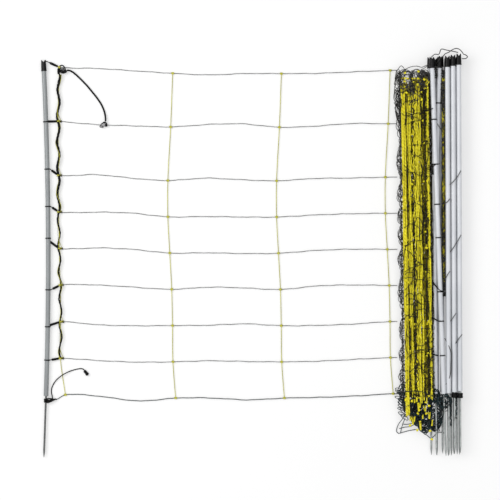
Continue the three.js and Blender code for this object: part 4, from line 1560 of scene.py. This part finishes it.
@dataclass
class GatheredNet:
    """The rest of the net, gathered beside the stretched panel.

    Attributes:
        netting: The stretched panel, whose lines run on into the bunch.
        left: The bunch's left edge at its head, in millimetres.
        width: Its width.
        lean: How far it leans to the right over its length.
        head: Height of its head up the fence.
        foot: Height of its foot.
        bands: The uprights on top.
        base: The uprights under them, darkened with painted shade.
        knot_spots: Places of the knots that stand out, in millimetres.
        tail_spots: Place and length of the yarn tails at the foot.
        head_loops: Routes of the loops that stand out of the head.
        foot_loops: Routes of the loops that lie below the foot.
    """

    netting: Netting
    left: float = 410.4
    width: float = 75.0
    lean: float = 13.8
    head: float = 511.3
    foot: float = -386.7
    bands: tuple[Strands, ...] = (
        Strands(0.0, 0.14, 24, 38.4, 20, 478, -440, 0.0, 0.01),
        Strands(0.18, 0.33, 22, 38, 18, 472, -388, 0.1, 0.014),
        Strands(0.43, 0.5, 24, 38.6, 9, 480, -392, 0.05, 0.014),
        Strands(0.53, 0.59, 26, 38.8, 9, 490, -404, 0.05, 0.016),
        Strands(0.65, 0.71, 22, 38, 8, 500, -400, 0.1, 0.016),
        Strands(0.72, 0.88, 12, 28, 12, 502, -392, 0.5, 0.024),
        Strands(0.4, 0.72, 26, 38.8, 14, 492, 90, 0.15, 0.03),
        Strands(0.9, 1.0, 24, 38.4, 11, 508, -396, 0.02, 0.014),
    )
    base: tuple[Strands, ...] = (
        Strands(0.02, 0.98, 2, 18, 40, 482, -380, 0.6, 0.02),
    )

    knot_spots: Profile = (
        (422, 503), (459, 507), (475, 485), (487, 478), (476, 461), (468, 430), (421, 480), (426, 449),
        (488, -384), (488, -411), (481, -432), (461, -423), (436, -465), (456, -478), (491, -480),
        (496, -503), (441, -398), (424, -395),
    )
    tail_spots: Route = (
        (443.5, -463, 22), (447.6, -455, 14), (465.6, -479, 26), (496, -466, 16), (460, -427, 24),
        (478, -427, 16), (482, -405, 20), (485, -386, 22), (452, -383, 18), (463, -416, 14),
        (436, -452, 12), (471, -448, 13), (489, -447, 18), (455, -401, 16),
    )
    head_loops: tuple[Route, ...] = (
        ((402, 512, 12), (413, 524, 17), (423, 513, 22)),
        ((400, 480, 8), (403, 500, 14), (414, 512, 20), (424, 513, 24)),
        ((422, 513, 30), (438, 520, 32), (455, 522, 33), (469, 519, 32), (480, 524, 30), (490, 529, 26)),
        ((466, 512, 33), (476, 517, 33), (487, 527, 30), (494, 533, 26)),
    )
    foot_loops: tuple[Route, ...] = (
        ((424, -436, 26), (415, -450, 16), (407, -462, 6), (402, -474, 3), (401, -484, 2.6),
         (406, -489, 2.6), (418, -486, 2.6), (438, -481, 2.6), (462, -478, 4), (478, -480, 8)),
        ((423, -446, 22), (418, -462, 8), (414, -476, 4), (412, -487, 2.8)),
        ((408, -476, 5), (422, -472, 6), (437, -470, 8), (452, -462, 14), (462, -452, 20)),
        ((416, -463, 10), (428, -464, 8), (444, -460, 12), (450, -455, 18)),
        ((470, -482, 5), (474, -488, 3), (484, -494, 3), (495, -502, 4), (503, -498, 4), (511, -489, 5),
         (522, -486, 5), (533, -488, 4)),
        ((418, -376, 34), (430, -371, 40.5), (452, -371, 40.5), (474, -374, 40.5), (486, -381, 38)),
        ((424, -414, 36), (436, -408, 40), (446, -404, 38)),
    )

    def lean_at(self, y: Points) -> Points:
        """How far the bunch has leant at a height, in millimetres."""
        return self.lean * (self.head - y) / (self.head - self.foot)

    def leant(self, paths: Points) -> Points:
        """Paths drawn for an upright bunch, leant as the bunch leans.

        Args:
            paths: The paths, in metres.

        Returns:
            An array of the same shape.
        """
        paths = paths.copy()
        paths[..., 0] += self.lean_at(paths[..., 1] / MM) * MM
        return paths

    def strand_paths(self, band: Strands, rng: Random, steps: int = 84) -> Points:
        """Paths of one band of uprights.

        Args:
            band: The band.
            rng: Where the wandering comes from.
            steps: Points along each upright.

        Returns:
            Paths as an array of path, point and x, y, z, in metres.
        """
        count = band.count
        t = np.linspace(0.0, 1.0, steps)[None]
        share = band.left + (band.right - band.left) * (np.arange(count) + rng.random(count)) / count
        wander = np.zeros((count, steps))
        rise = np.zeros((count, steps))
        for waves in (2.3, 5.1, 9.7, 17.0):
            start = rng.random((2, count, 1))
            wander += np.sin(math.tau * (waves * t + start[0])) * (2.3 / waves) ** 0.4
            rise += np.sin(math.tau * (0.7 * waves * t + start[1])) * (2.3 / waves) ** 0.4
        u = np.clip(share[:, None] + band.stray * wander, 0.012, 0.988)
        head = band.head - 14 * rng.random((count, 1))
        foot = band.foot + 16 * rng.random((count, 1)) ** 2
        y = head + (foot - head) * t
        height = band.low + (band.high - band.low) * rng.random((count, 1))
        sink = np.clip((y - (head - 34)) / 34, 0.0, 1.0) ** 2
        z = np.clip(height + 1.6 * rise - sink * (height - 6), 1.6, 39.0)
        x = self.left + self.width * u
        return self.leant(np.stack([x, y, z], axis=-1) * MM)

    def build_strands(self) -> None:
        """Makes the gathered uprights, the top ones and those under them."""
        rng = np.random.default_rng(41)
        for name, bands, sides, replaces in (
                ("gathered_strands_top", self.bands, 6, ("gathered_uprights_2", "gathered_uprights_3")),
                ("gathered_strands_base", self.base, 5, ("gathered_uprights_1",))):
            form = Form()
            for band in bands:
                paths = self.strand_paths(band, rng)
                # Each upright is darkened by its band's value and at random: painted shade, strongest on
                # the bands that lie low, mixed with tone that differs at random.
                shade = np.clip(band.dark + rng.normal(0.08, 0.28, band.count), 0.0, 1.0)
                form.sweep(paths, 1.2 * MM, sides, shade=shade)
            form.piece(name, Finish.UPRIGHT, replaces)

    def build_knots(self) -> None:
        """Makes the knots that show on the bunch and at its ends."""
        rng = np.random.default_rng(43)
        form = Form()
        rows = self.netting.knots[:, -1, 1] / MM
        for row in rows:
            for _ in range(20):
                u = 0.03 + 0.94 * rng.random()
                y = np.clip(row + rng.normal(0, 26), -440, 488)
                z = 30 + 7 * rng.random()
                spot = point(self.left + self.width * u + self.lean_at(y), y, z)
                aim = np.array([rng.normal(), rng.normal(), 0.0])
                Knot(spot, aim, 0.3 * rng.random() ** 2, 0.7 + 0.3 * rng.random()).add_to(form, 5, 22)
        for x, y in self.knot_spots:
            aim = np.array([rng.normal(), rng.normal(), 0.0])
            Knot(point(x, y, 37), aim, 0.05, 1.0).add_to(form, 6, 34)
        form.piece("gathered_knots", Finish.UPRIGHT)

    def build_lines(self) -> None:
        """Makes the crumpled lines that fill the bunch and cross it."""
        rng = np.random.default_rng(47)
        left, right = self.left, self.left + self.width
        foot, head = self.foot, self.head
        fill = Form()
        lane = (240, Run.ALONG, 0.2, 0.3, 5.0)
        for tangle in (
            Tangle((left + 2, foot, 2), (right - 2, head - 54, 22), 170, 240, Run.ALONG, 0.3, 0.16, 5.0),
            Tangle((left + 12, foot, 22), (left + 16, head - 56, 38.2), 14, *lane),
            Tangle((left + 28.5, foot, 20), (left + 36.5, head - 56, 38.4), 36, 240, Run.ALONG,
                   0.22, 0.25, 5.0),
            Tangle((left + 43, foot, 22), (left + 46, head - 50, 38.2), 12, *lane),
            Tangle((left + 51, foot, 22), (left + 56, head - 50, 38.4), 22, *lane),
            Tangle((left + 61, foot, 18), (left + 77, head - 40, 38), 66, 240, Run.ALONG, 0.3, 0.2, 5.0),
            Tangle((left + 70, foot - 4, 15), (left + 82.5, head - 8, 28), 52, 240, Run.ALONG,
                   0.3, 0.18, 5.0),
            Tangle((left, foot, 31), (right, head - 40, 39.5), 60, 60, Run.SLANTED, 0.22, 0.15),
            Tangle((left, foot, 32), (right, head - 40, 39.5), 44, 46, Run.ACROSS, 0.22, 0.2),
        ):
            paths = self.leant(tangle.paths(rng))
            fill.sweep(paths, 0.95 * MM, 4, shade=rng.random(tangle.count))
        t = np.linspace(0.0, 1.0, 36)[None]
        count = 26
        start = left + 2 + 0.5 * self.width * rng.random((count, 1)) ** 2
        span = (right - 4 - start) * (0.45 + 0.5 * rng.random((count, 1)))
        y = foot + 60 + (head - foot - 140) * rng.random((count, 1)) + (rng.normal(0, 16, (count, 1))) * t
        y = y + rng.normal(6, 9, (count, 1)) * np.sin(math.pi * t)
        y += 1.2 * np.sin(math.tau * (2.3 * t + start))
        arcs = np.stack([start + span * t, y, 39.2 + 0.8 * np.sin(math.pi * t) + 0.0 * y], axis=-1)
        fill.sweep(self.leant(arcs * MM), 0.9 * MM, 5, shade=0.3 + 0.4 * rng.random(count))
        fill.piece("gathered_lines", Finish.CRUMPLED)

    def build_head(self) -> None:
        """Makes the tangle at the head of the bunch."""
        rng = np.random.default_rng(53)
        left, right, head = self.left, self.left + self.width, self.head
        form = Form()
        curl = (0.36, 0.05, 3.0, True)
        for tangle in (
            Tangle((left - 4, head - 56, 4), (left + 36, head + 2, 40), 15, 110, Run.ACROSS, *curl),
            Tangle((left + 22, head - 66, 8), (left + 68, head + 3, 41), 19, 120, Run.ACROSS, *curl),
            Tangle((left + 46, head - 46, 6), (right + 6, head + 2, 40), 14, 110, Run.ACROSS,
                   0.4, 0.05, 3.0, True),
            Tangle((left + 6, head - 100, 28), (right - 24, head - 34, 40.5), 9, 100, Run.ALONG,
                   0.35, 0.1, 3.0, True),
            Tangle((left - 17, head - 140, 3), (left + 5, head - 2, 26), 16, 130, Run.ALONG,
                   0.42, 0.06, 3.0, True),
        ):
            form.sweep(self.leant(tangle.paths(rng)), 0.95 * MM, 5, shade=rng.random(tangle.count))
        for route in self.head_loops:
            form.rope(route, 1.1, *HEAD_PLY, shade=0.7)
        form.piece("gathered_head", Finish.LOOSE_LINE)

    def build_fringe(self) -> None:
        """Makes the loops of line that hang out along the left of the bunch."""
        rng = np.random.default_rng(59)
        rows = self.netting.knots[:, -1, 1] / MM
        form = Form()
        steps = 460
        t = np.linspace(0.0, 1.0, steps)
        for strand in range(7):
            inner = strand > 3
            top = self.head - 4 - 14 * rng.random()
            y = top + (-428.0 - top) * t
            lobe = np.zeros(steps)
            for high, low in zip(rows[:-1], rows[1:]):
                lobe += np.clip(np.sin(math.pi * np.clip((high - y) / (high - low), 0.0, 1.0)), 0.0, 1.0)
            coils = (72 if inner else 42) + 18 * rng.random()
            sway = 0.7 * np.sin(math.tau * (3 + 4 * rng.random()) * t)
            angle = math.tau * (coils * t + sway) + 6 * strand
            beat = math.tau * (12.4 * t + 0.3 * rng.random()) + 2.0 * np.sin(14 * t)
            swell = 0.5 + 0.5 * np.sin(beat)
            reach = 2.0 + 0.6 * swell if inner else 2.3 + (3.9 + 2.2 * rng.random()) * swell
            drift = np.sin(math.tau * ((4 + strand) * t + rng.random()))
            start = 413.0 if inner else 412.0 + 1.0 * strand
            edge = start + 1.2 * drift + self.lean_at(y) * 0.75 - 1.6 * lobe
            route = np.stack([
                edge - reach + reach * np.cos(angle),
                y + 1.15 * reach * np.sin(angle),
                2.0 + 18.0 * rng.random() + 2.2 * np.sin(0.5 * angle + strand),
            ], axis=1)
            route[:, 2] = np.clip(route[:, 2], 1.2, 24.0)
            form.sweep(route * MM, 0.8 * MM, 5, shade=0.35 + 0.5 * rng.random())
        form.piece("gathered_fringe", Finish.LOOSE_LINE, ("gathered_line_loops",))

    def build_foot(self) -> None:
        """Makes the tangle of the bottom line below the bunch, with its long loops."""
        rng = np.random.default_rng(61)
        form = Form()
        curl = (0.4, 0.05, 3.2, True)
        for tangle in (
            Tangle((422, -436, 2), (472, -362, 33), 30, 110, Run.SLANTED, *curl),
            Tangle((436, -466, 2), (484, -380, 34), 30, 120, Run.SLANTED, *curl),
            Tangle((452, -484, 2), (498, -376, 34), 34, 110, Run.ACROSS, *curl),
            Tangle((486, -478, 8), (528, -378, 22), 34, 120, Run.ALONG, 0.4, 0.06, 3.2, True),
            Tangle((402, -412, 3), (430, -352, 26), 5, 110, Run.ACROSS, 0.3, 0.1, 3.0, True),
        ):
            form.sweep(tangle.paths(rng), 1.25 * MM, 5, shade=rng.random(tangle.count))
        turn = np.linspace(0.0, math.tau, 40)
        for number in range(29):
            place = (410 + 0.9 * number + 2 * rng.normal(), -368 - 7.6 * number, 10 + 8 * rng.random())
            if number > 10:
                along = (number - 11) / 17
                place = (432 + 74 * along + 5 * rng.normal(), -424 - 52 * along + 6 * rng.normal(),
                         16 + 12 * rng.random())
            long = 12 + 2 * rng.normal()
            wide = 3.4 + rng.random()
            tilt = math.radians(-24 + 10 * rng.normal())
            loop = tilted_loop(turn, long, wide, tilt, 3 * np.sin(turn + number)) + place
            form.sweep(loop * MM, 1.15 * MM, *CURL_PLY, shade=rng.random())
        for route in self.foot_loops:
            form.rope(route, 1.3, *FOOT_PLY)
        form.piece("gathered_foot", Finish.BOTTOM_LINE, ("bottom_line_tangle",))
        tails = Form()
        for x, y, long in self.tail_spots:
            for strand in range(3):
                t = np.linspace(0.0, 1.0, 9)
                bow = 2.2 * rng.normal()
                route = np.stack([x + (strand - 1) * (1.2 + 0.6 * t) + bow * t, y + long * t,
                                  33.6 + 2.4 * np.sin(math.pi * t) - 2.0 * t], axis=1)
                tails.sweep(route * MM, 1.05 * MM, 6, shade=0.1 + 0.3 * rng.random())
        tails.piece("gathered_tails", Finish.UPRIGHT)

    def build(self) -> None:
        """Makes the whole gathered net."""
        self.build_strands()
        self.build_knots()
        self.build_lines()
        self.build_head()
        self.build_fringe()
        self.build_foot()


@dataclass
class PileFittings:
    """What still hangs on the piled posts: clips, cords, foot ties and loops of line.

    Attributes:
        ring_places: The number of a post and the height of each clip that rings it, in millimetres.
        collar_places: The number of a post and the height of the collar at its foot.
        arms: Route and radius of each lug and arm of the clips.
        crossing_cords: Routes of the cords that cross the posts.
        cap_loops: Routes of the loops above the caps.
    """

    ring_places: Profile = (
        (1, 375.6), (1, 252.5), (1, 142.3), (1, 50.7), (1, -97.8), (1, -178.7), (1, -273.1), (2, 421.1),
    )
    collar_places: Profile = ((4, -382.0), (5, -383.0))
    arms: tuple[tuple[Route, float], ...] = (
        (((475.2, 398.6, 40), (481, 400, 41.4), (487.6, 401.3, 42)), 2.3),
        (((487.6, 401.3, 42), (498.7, 405.4, 42.4)), 1.2),
        (((498.1, 223.8, 40), (497.2, 238, 41), (496.7, 254.1, 40)), 2.4),
        (((499, 246, 41), (506.9, 251.9, 42.6), (517, 253.3, 42)), 1.2),
        (((498.1, -70.2, 41), (504, -79, 42.4), (511.1, -88.1, 42.4)), 2.0),
        (((511.1, -88.1, 42.4), (518, -94, 42.6), (526.3, -96.4, 41.6)), 1.2),
        (((494.5, -168.2, 41), (503, -172.4, 42.4), (512.5, -177.8, 42.4)), 2.0),
        (((512.5, -177.8, 42.4), (520, -178.6, 42.6), (529, -179.2, 41.6)), 1.2),
        (((495.9, -268.9, 41), (504, -271, 42.4), (513.8, -273, 42.4)), 2.0),
    )
    crossing_cords: tuple[Route, ...] = (
        ((524, 143, 33), (531.8, 145.1, 42), (538, 149, 42.6), (545.6, 157.5, 42.6)),
        ((545, 196, 42.4), (553, 203.5, 42.6), (559.4, 210, 42.6), (566, 219, 42.6), (576, 234.8, 41.6)),
        ((545.6, 11.3, 42.3), (556, 25, 42.6), (563, 36, 42.4), (576, 58.2, 42.2)),
        ((531.8, -63.3, 41.8), (538, -52, 42.6), (545.6, -41.2, 42.4)),
        ((547, -179.2, 41.2), (554, -168, 42.3), (562.2, -157.2, 41.6)),
        ((560.8, -239.9, 41.4), (569, -227, 42.3), (578.7, -215.1, 41)),
        ((531.8, -226.1, 30), (541, -245, 40), (548.4, -264.7, 42), (548, -296, 42.4), (545.6, -328.2, 42),
         (534.5, -353, 34)),
        ((511.1, 364, 36), (514, 358, 39), (520.8, 348.2, 36)),
    )
    cap_loops: tuple[Route, ...] = (
        ((495.9, 548.1, 30), (504.2, 554.2, 38), (514.7, 554.4, 38), (519.3, 564.6, 38),
         (522.1, 568.5, 39), (534.5, 566, 40), (548.3, 563.3, 41), (567.6, 559.1, 41)),
        ((526.3, 548, 38), (531.8, 555, 43), (541.4, 559.2, 45), (553.9, 567.4, 45), (563.5, 569.9, 44),
         (573.2, 566, 43), (581.5, 556.4, 40)),
        ((581.5, 554.9, 40), (589.7, 552.2, 36), (593.8, 548.1, 34), (589.7, 543.1, 34),
         (578.7, 542.3, 36)),
        ((509.7, 528.8, 24), (514, 536, 32), (523.5, 548.2, 36)),
    )

    def __post_init__(self) -> None:
        """Reads the posts' lines."""
        self.lines = {number: PostLine.of(f"post_{number}") for number in range(1, PILE_COUNT + 1)}

    def collar(self, form: Form, number: int, y: float, half: float, wall: float) -> None:
        """Adds a ring round a post.

        Args:
            form: The mesh.
            number: The post's number.
            y: Height of the ring's middle up the fence, in millimetres.
            half: Half its height, in millimetres.
            wall: How far it stands out from the tube, in millimetres.
        """
        line = self.lines[number]
        inner, outer = 6.7, 6.6 + wall
        profile = ((inner, -half), (outer - 0.3, -half), (outer, -0.6 * half), (outer, 0.6 * half),
                   (outer - 0.3, half), (inner, half), (inner, -half))
        form.turned(profile, line.at_height(y * MM), line.up_at(y * MM, 6 * MM), 36)

    def build_rings(self) -> None:
        """Makes the clips that ring the posts and the collars at their feet."""
        form = Form()
        for number, y in self.ring_places:
            self.collar(form, number, y, 1.6, 1.3)
        for number, y in self.collar_places:
            self.collar(form, number, y, 7.0, 0.7)
            self.collar(form, number, y + 4, 1.5, 1.2)
            self.collar(form, number, y - 4, 1.5, 1.3)
        for route, radius in self.arms:
            form.rope(route, radius, 10, step=1.5)
        form.piece("pile_rings", Finish.PLASTIC)

    def build_cords(self) -> None:
        """Makes the cords that cross the posts and the loops above their caps."""
        form = Form()
        for route in self.crossing_cords:
            form.rope(route, 1.05, 6, shade=0.8)
        for route in self.cap_loops:
            form.rope(route, 1.25, 7, step=1.5, shade=0.9)
        form.piece("pile_cords", Finish.LOOSE_LINE)

    def build_net(self) -> None:
        """Makes the net that shows between the second and third post."""
        rng = np.random.default_rng(71)
        yellow = Form()
        t = np.linspace(0.0, 1.0, 60)[None]
        count = 12
        spread = (np.arange(count) / (count - 1))[:, None]
        wave = np.sin(math.tau * (3.1 * t + rng.random((count, 1))))
        y = 492 - 560 * t - 10 * rng.random((count, 1))
        x = 525.5 + 6.5 * spread + 3.2 * t + 0.8 * wave
        z = 17.5 + 7.0 * rng.random((count, 1)) + 1.2 * wave
        # These strands lie low between the posts and are darkened: mostly painted shade, with some tone
        # that differs at random.
        yellow.sweep(np.stack([x, y, z], axis=-1) * MM, 1.1 * MM, 5, shade=0.45 + 0.3 * rng.random(count))
        yellow.piece("pile_strands", Finish.UPRIGHT)
        dark = Form()
        for tangle in (
                Tangle((512, 420, 17), (534, 512, 27), 26, 120, Run.ALONG, 0.35, 0.12, 3.2),
                Tangle((524, -110, 17), (536, 480, 28), 60, 220, Run.ALONG, 0.25, 0.2, 5.0),
                Tangle((494, 490, 20), (512, 520, 40), 10, 60, Run.ACROSS, 0.4, 0.1, 3.0)):
            dark.sweep(tangle.paths(rng), 0.95 * MM, 4, shade=rng.random(tangle.count))
        dark.piece("pile_lines", Finish.LOOSE_LINE)

    def build_ties(self) -> None:
        """Makes the cords wound round the feet of the posts and down between the spikes."""
        rng = np.random.default_rng(73)
        form = Form()
        for tangle in (
                Tangle((492, -404, 10), (520, -366, 36), 13, 110, Run.ACROSS, 0.5, 0.03, 2.6, True),
                Tangle((512, -424, 14), (550, -376, 42), 15, 110, Run.ACROSS, 0.5, 0.03, 2.6, True),
                Tangle((545, -466, 12), (550, -392, 34), 6, 90, Run.ALONG, 0.3, 0.2, 2.6),
                Tangle((561, -446, 12), (566, -388, 34), 6, 70, Run.ALONG, 0.3, 0.2, 2.6)):
            form.sweep(tangle.paths(rng), 1.15 * MM, 5, shade=rng.random(tangle.count))
        form.piece("pile_ties", Finish.BOTTOM_LINE)

    def build(self) -> None:
        """Makes all of the pile's fittings."""
        self.build_rings()
        self.build_cords()
        self.build_net()
        self.build_ties()


def studio() -> None:
    """Makes the floor, the lights and the camera."""
    scene = bpy.context.scene
    corners = [(x * FLOOR_REACH, y * FLOOR_REACH, 0) for x, y in ((-1, -1), (1, -1), (1, 1), (-1, 1))]
    mesh = bpy.data.meshes.new("floor")
    mesh.from_pydata(corners, [], [range(4)])
    nodes = Nodes("floor_paper")
    nodes.shader.inputs["Emission Color"].default_value = (*WHITE, 1.0)
    nodes.set(Roughness=0.9, Emission_Strength=FLOOR_GLOW)
    nodes.colour(nodes.mix(nodes.noise(3.0), (0.47, 0.47, 0.47), (0.48, 0.48, 0.48)))
    mesh.materials.append(nodes.material)
    floor = bpy.data.objects.new("floor", mesh)
    scene.collection.objects.link(floor)
    world = bpy.data.worlds.new("studio")
    world.use_nodes = True
    tree = world.node_tree
    place = tree.nodes.new("ShaderNodeTexCoord")
    split = tree.nodes.new("ShaderNodeSeparateXYZ")
    fade = tree.nodes.new("ShaderNodeMapRange")
    for number, limit in enumerate((0.1, 0.95, 0.22, 1.15), start=1):
        fade.inputs[number].default_value = limit
    tree.links.new(place.outputs["Generated"], split.inputs[0])
    tree.links.new(split.outputs["Z"], fade.inputs[0])
    tree.links.new(fade.outputs[0], tree.nodes["Background"].inputs["Strength"])
    tree.nodes["Background"].inputs["Color"].default_value = (*WHITE, 1.0)
    scene.world = world
    for name, place, size, power in (
            ("key", (-3.0, 1.2, 3.4), 2.4, 105.0),
            ("fill", (2.2, -1.4, 3.8), 3.5, 22.0)):
        light = bpy.data.lights.new(name, "AREA")
        light.size = size
        light.energy = power
        lamp = bpy.data.objects.new(name, light)
        lamp.location = place
        lamp.rotation_euler = (-Vector(place)).to_track_quat("-Z", "Y").to_euler()
        scene.collection.objects.link(lamp)
    camera = bpy.data.cameras.new("camera")
    camera.lens = LENS
    camera.sensor_width = SENSOR
    camera.clip_end = 60.0
    eye = bpy.data.objects.new("camera", camera)
    eye.location = (*VIEW_MIDDLE, LENS / SENSOR * VIEW_WIDTH)
    scene.collection.objects.link(eye)
    scene.camera = eye
    scene.view_settings.view_transform = "Standard"


def main() -> None:
    """Builds every sub-assembly in order."""
    logging.basicConfig(level=logging.INFO, format="%(message)s")
    studio()
    netting = Netting()
    netting.build_lines()
    netting.build_uprights()
    for name in ("end_post", *(f"post_{number + 1}" for number in range(PILE_COUNT)),
                 *(f"under_post_{number + 1}" for number in range(UNDER_COUNT))):
        Post(name).build()
    fittings = EndFittings(netting)
    fittings.build_clips()
    fittings.build_corner()
    fittings.build_connector()
    fittings.build_cable()
    fittings.build_foot()
    Leads().build()
    GatheredNet(netting).build()
    PileFittings().build()


if __name__ == "__main__":
    main()
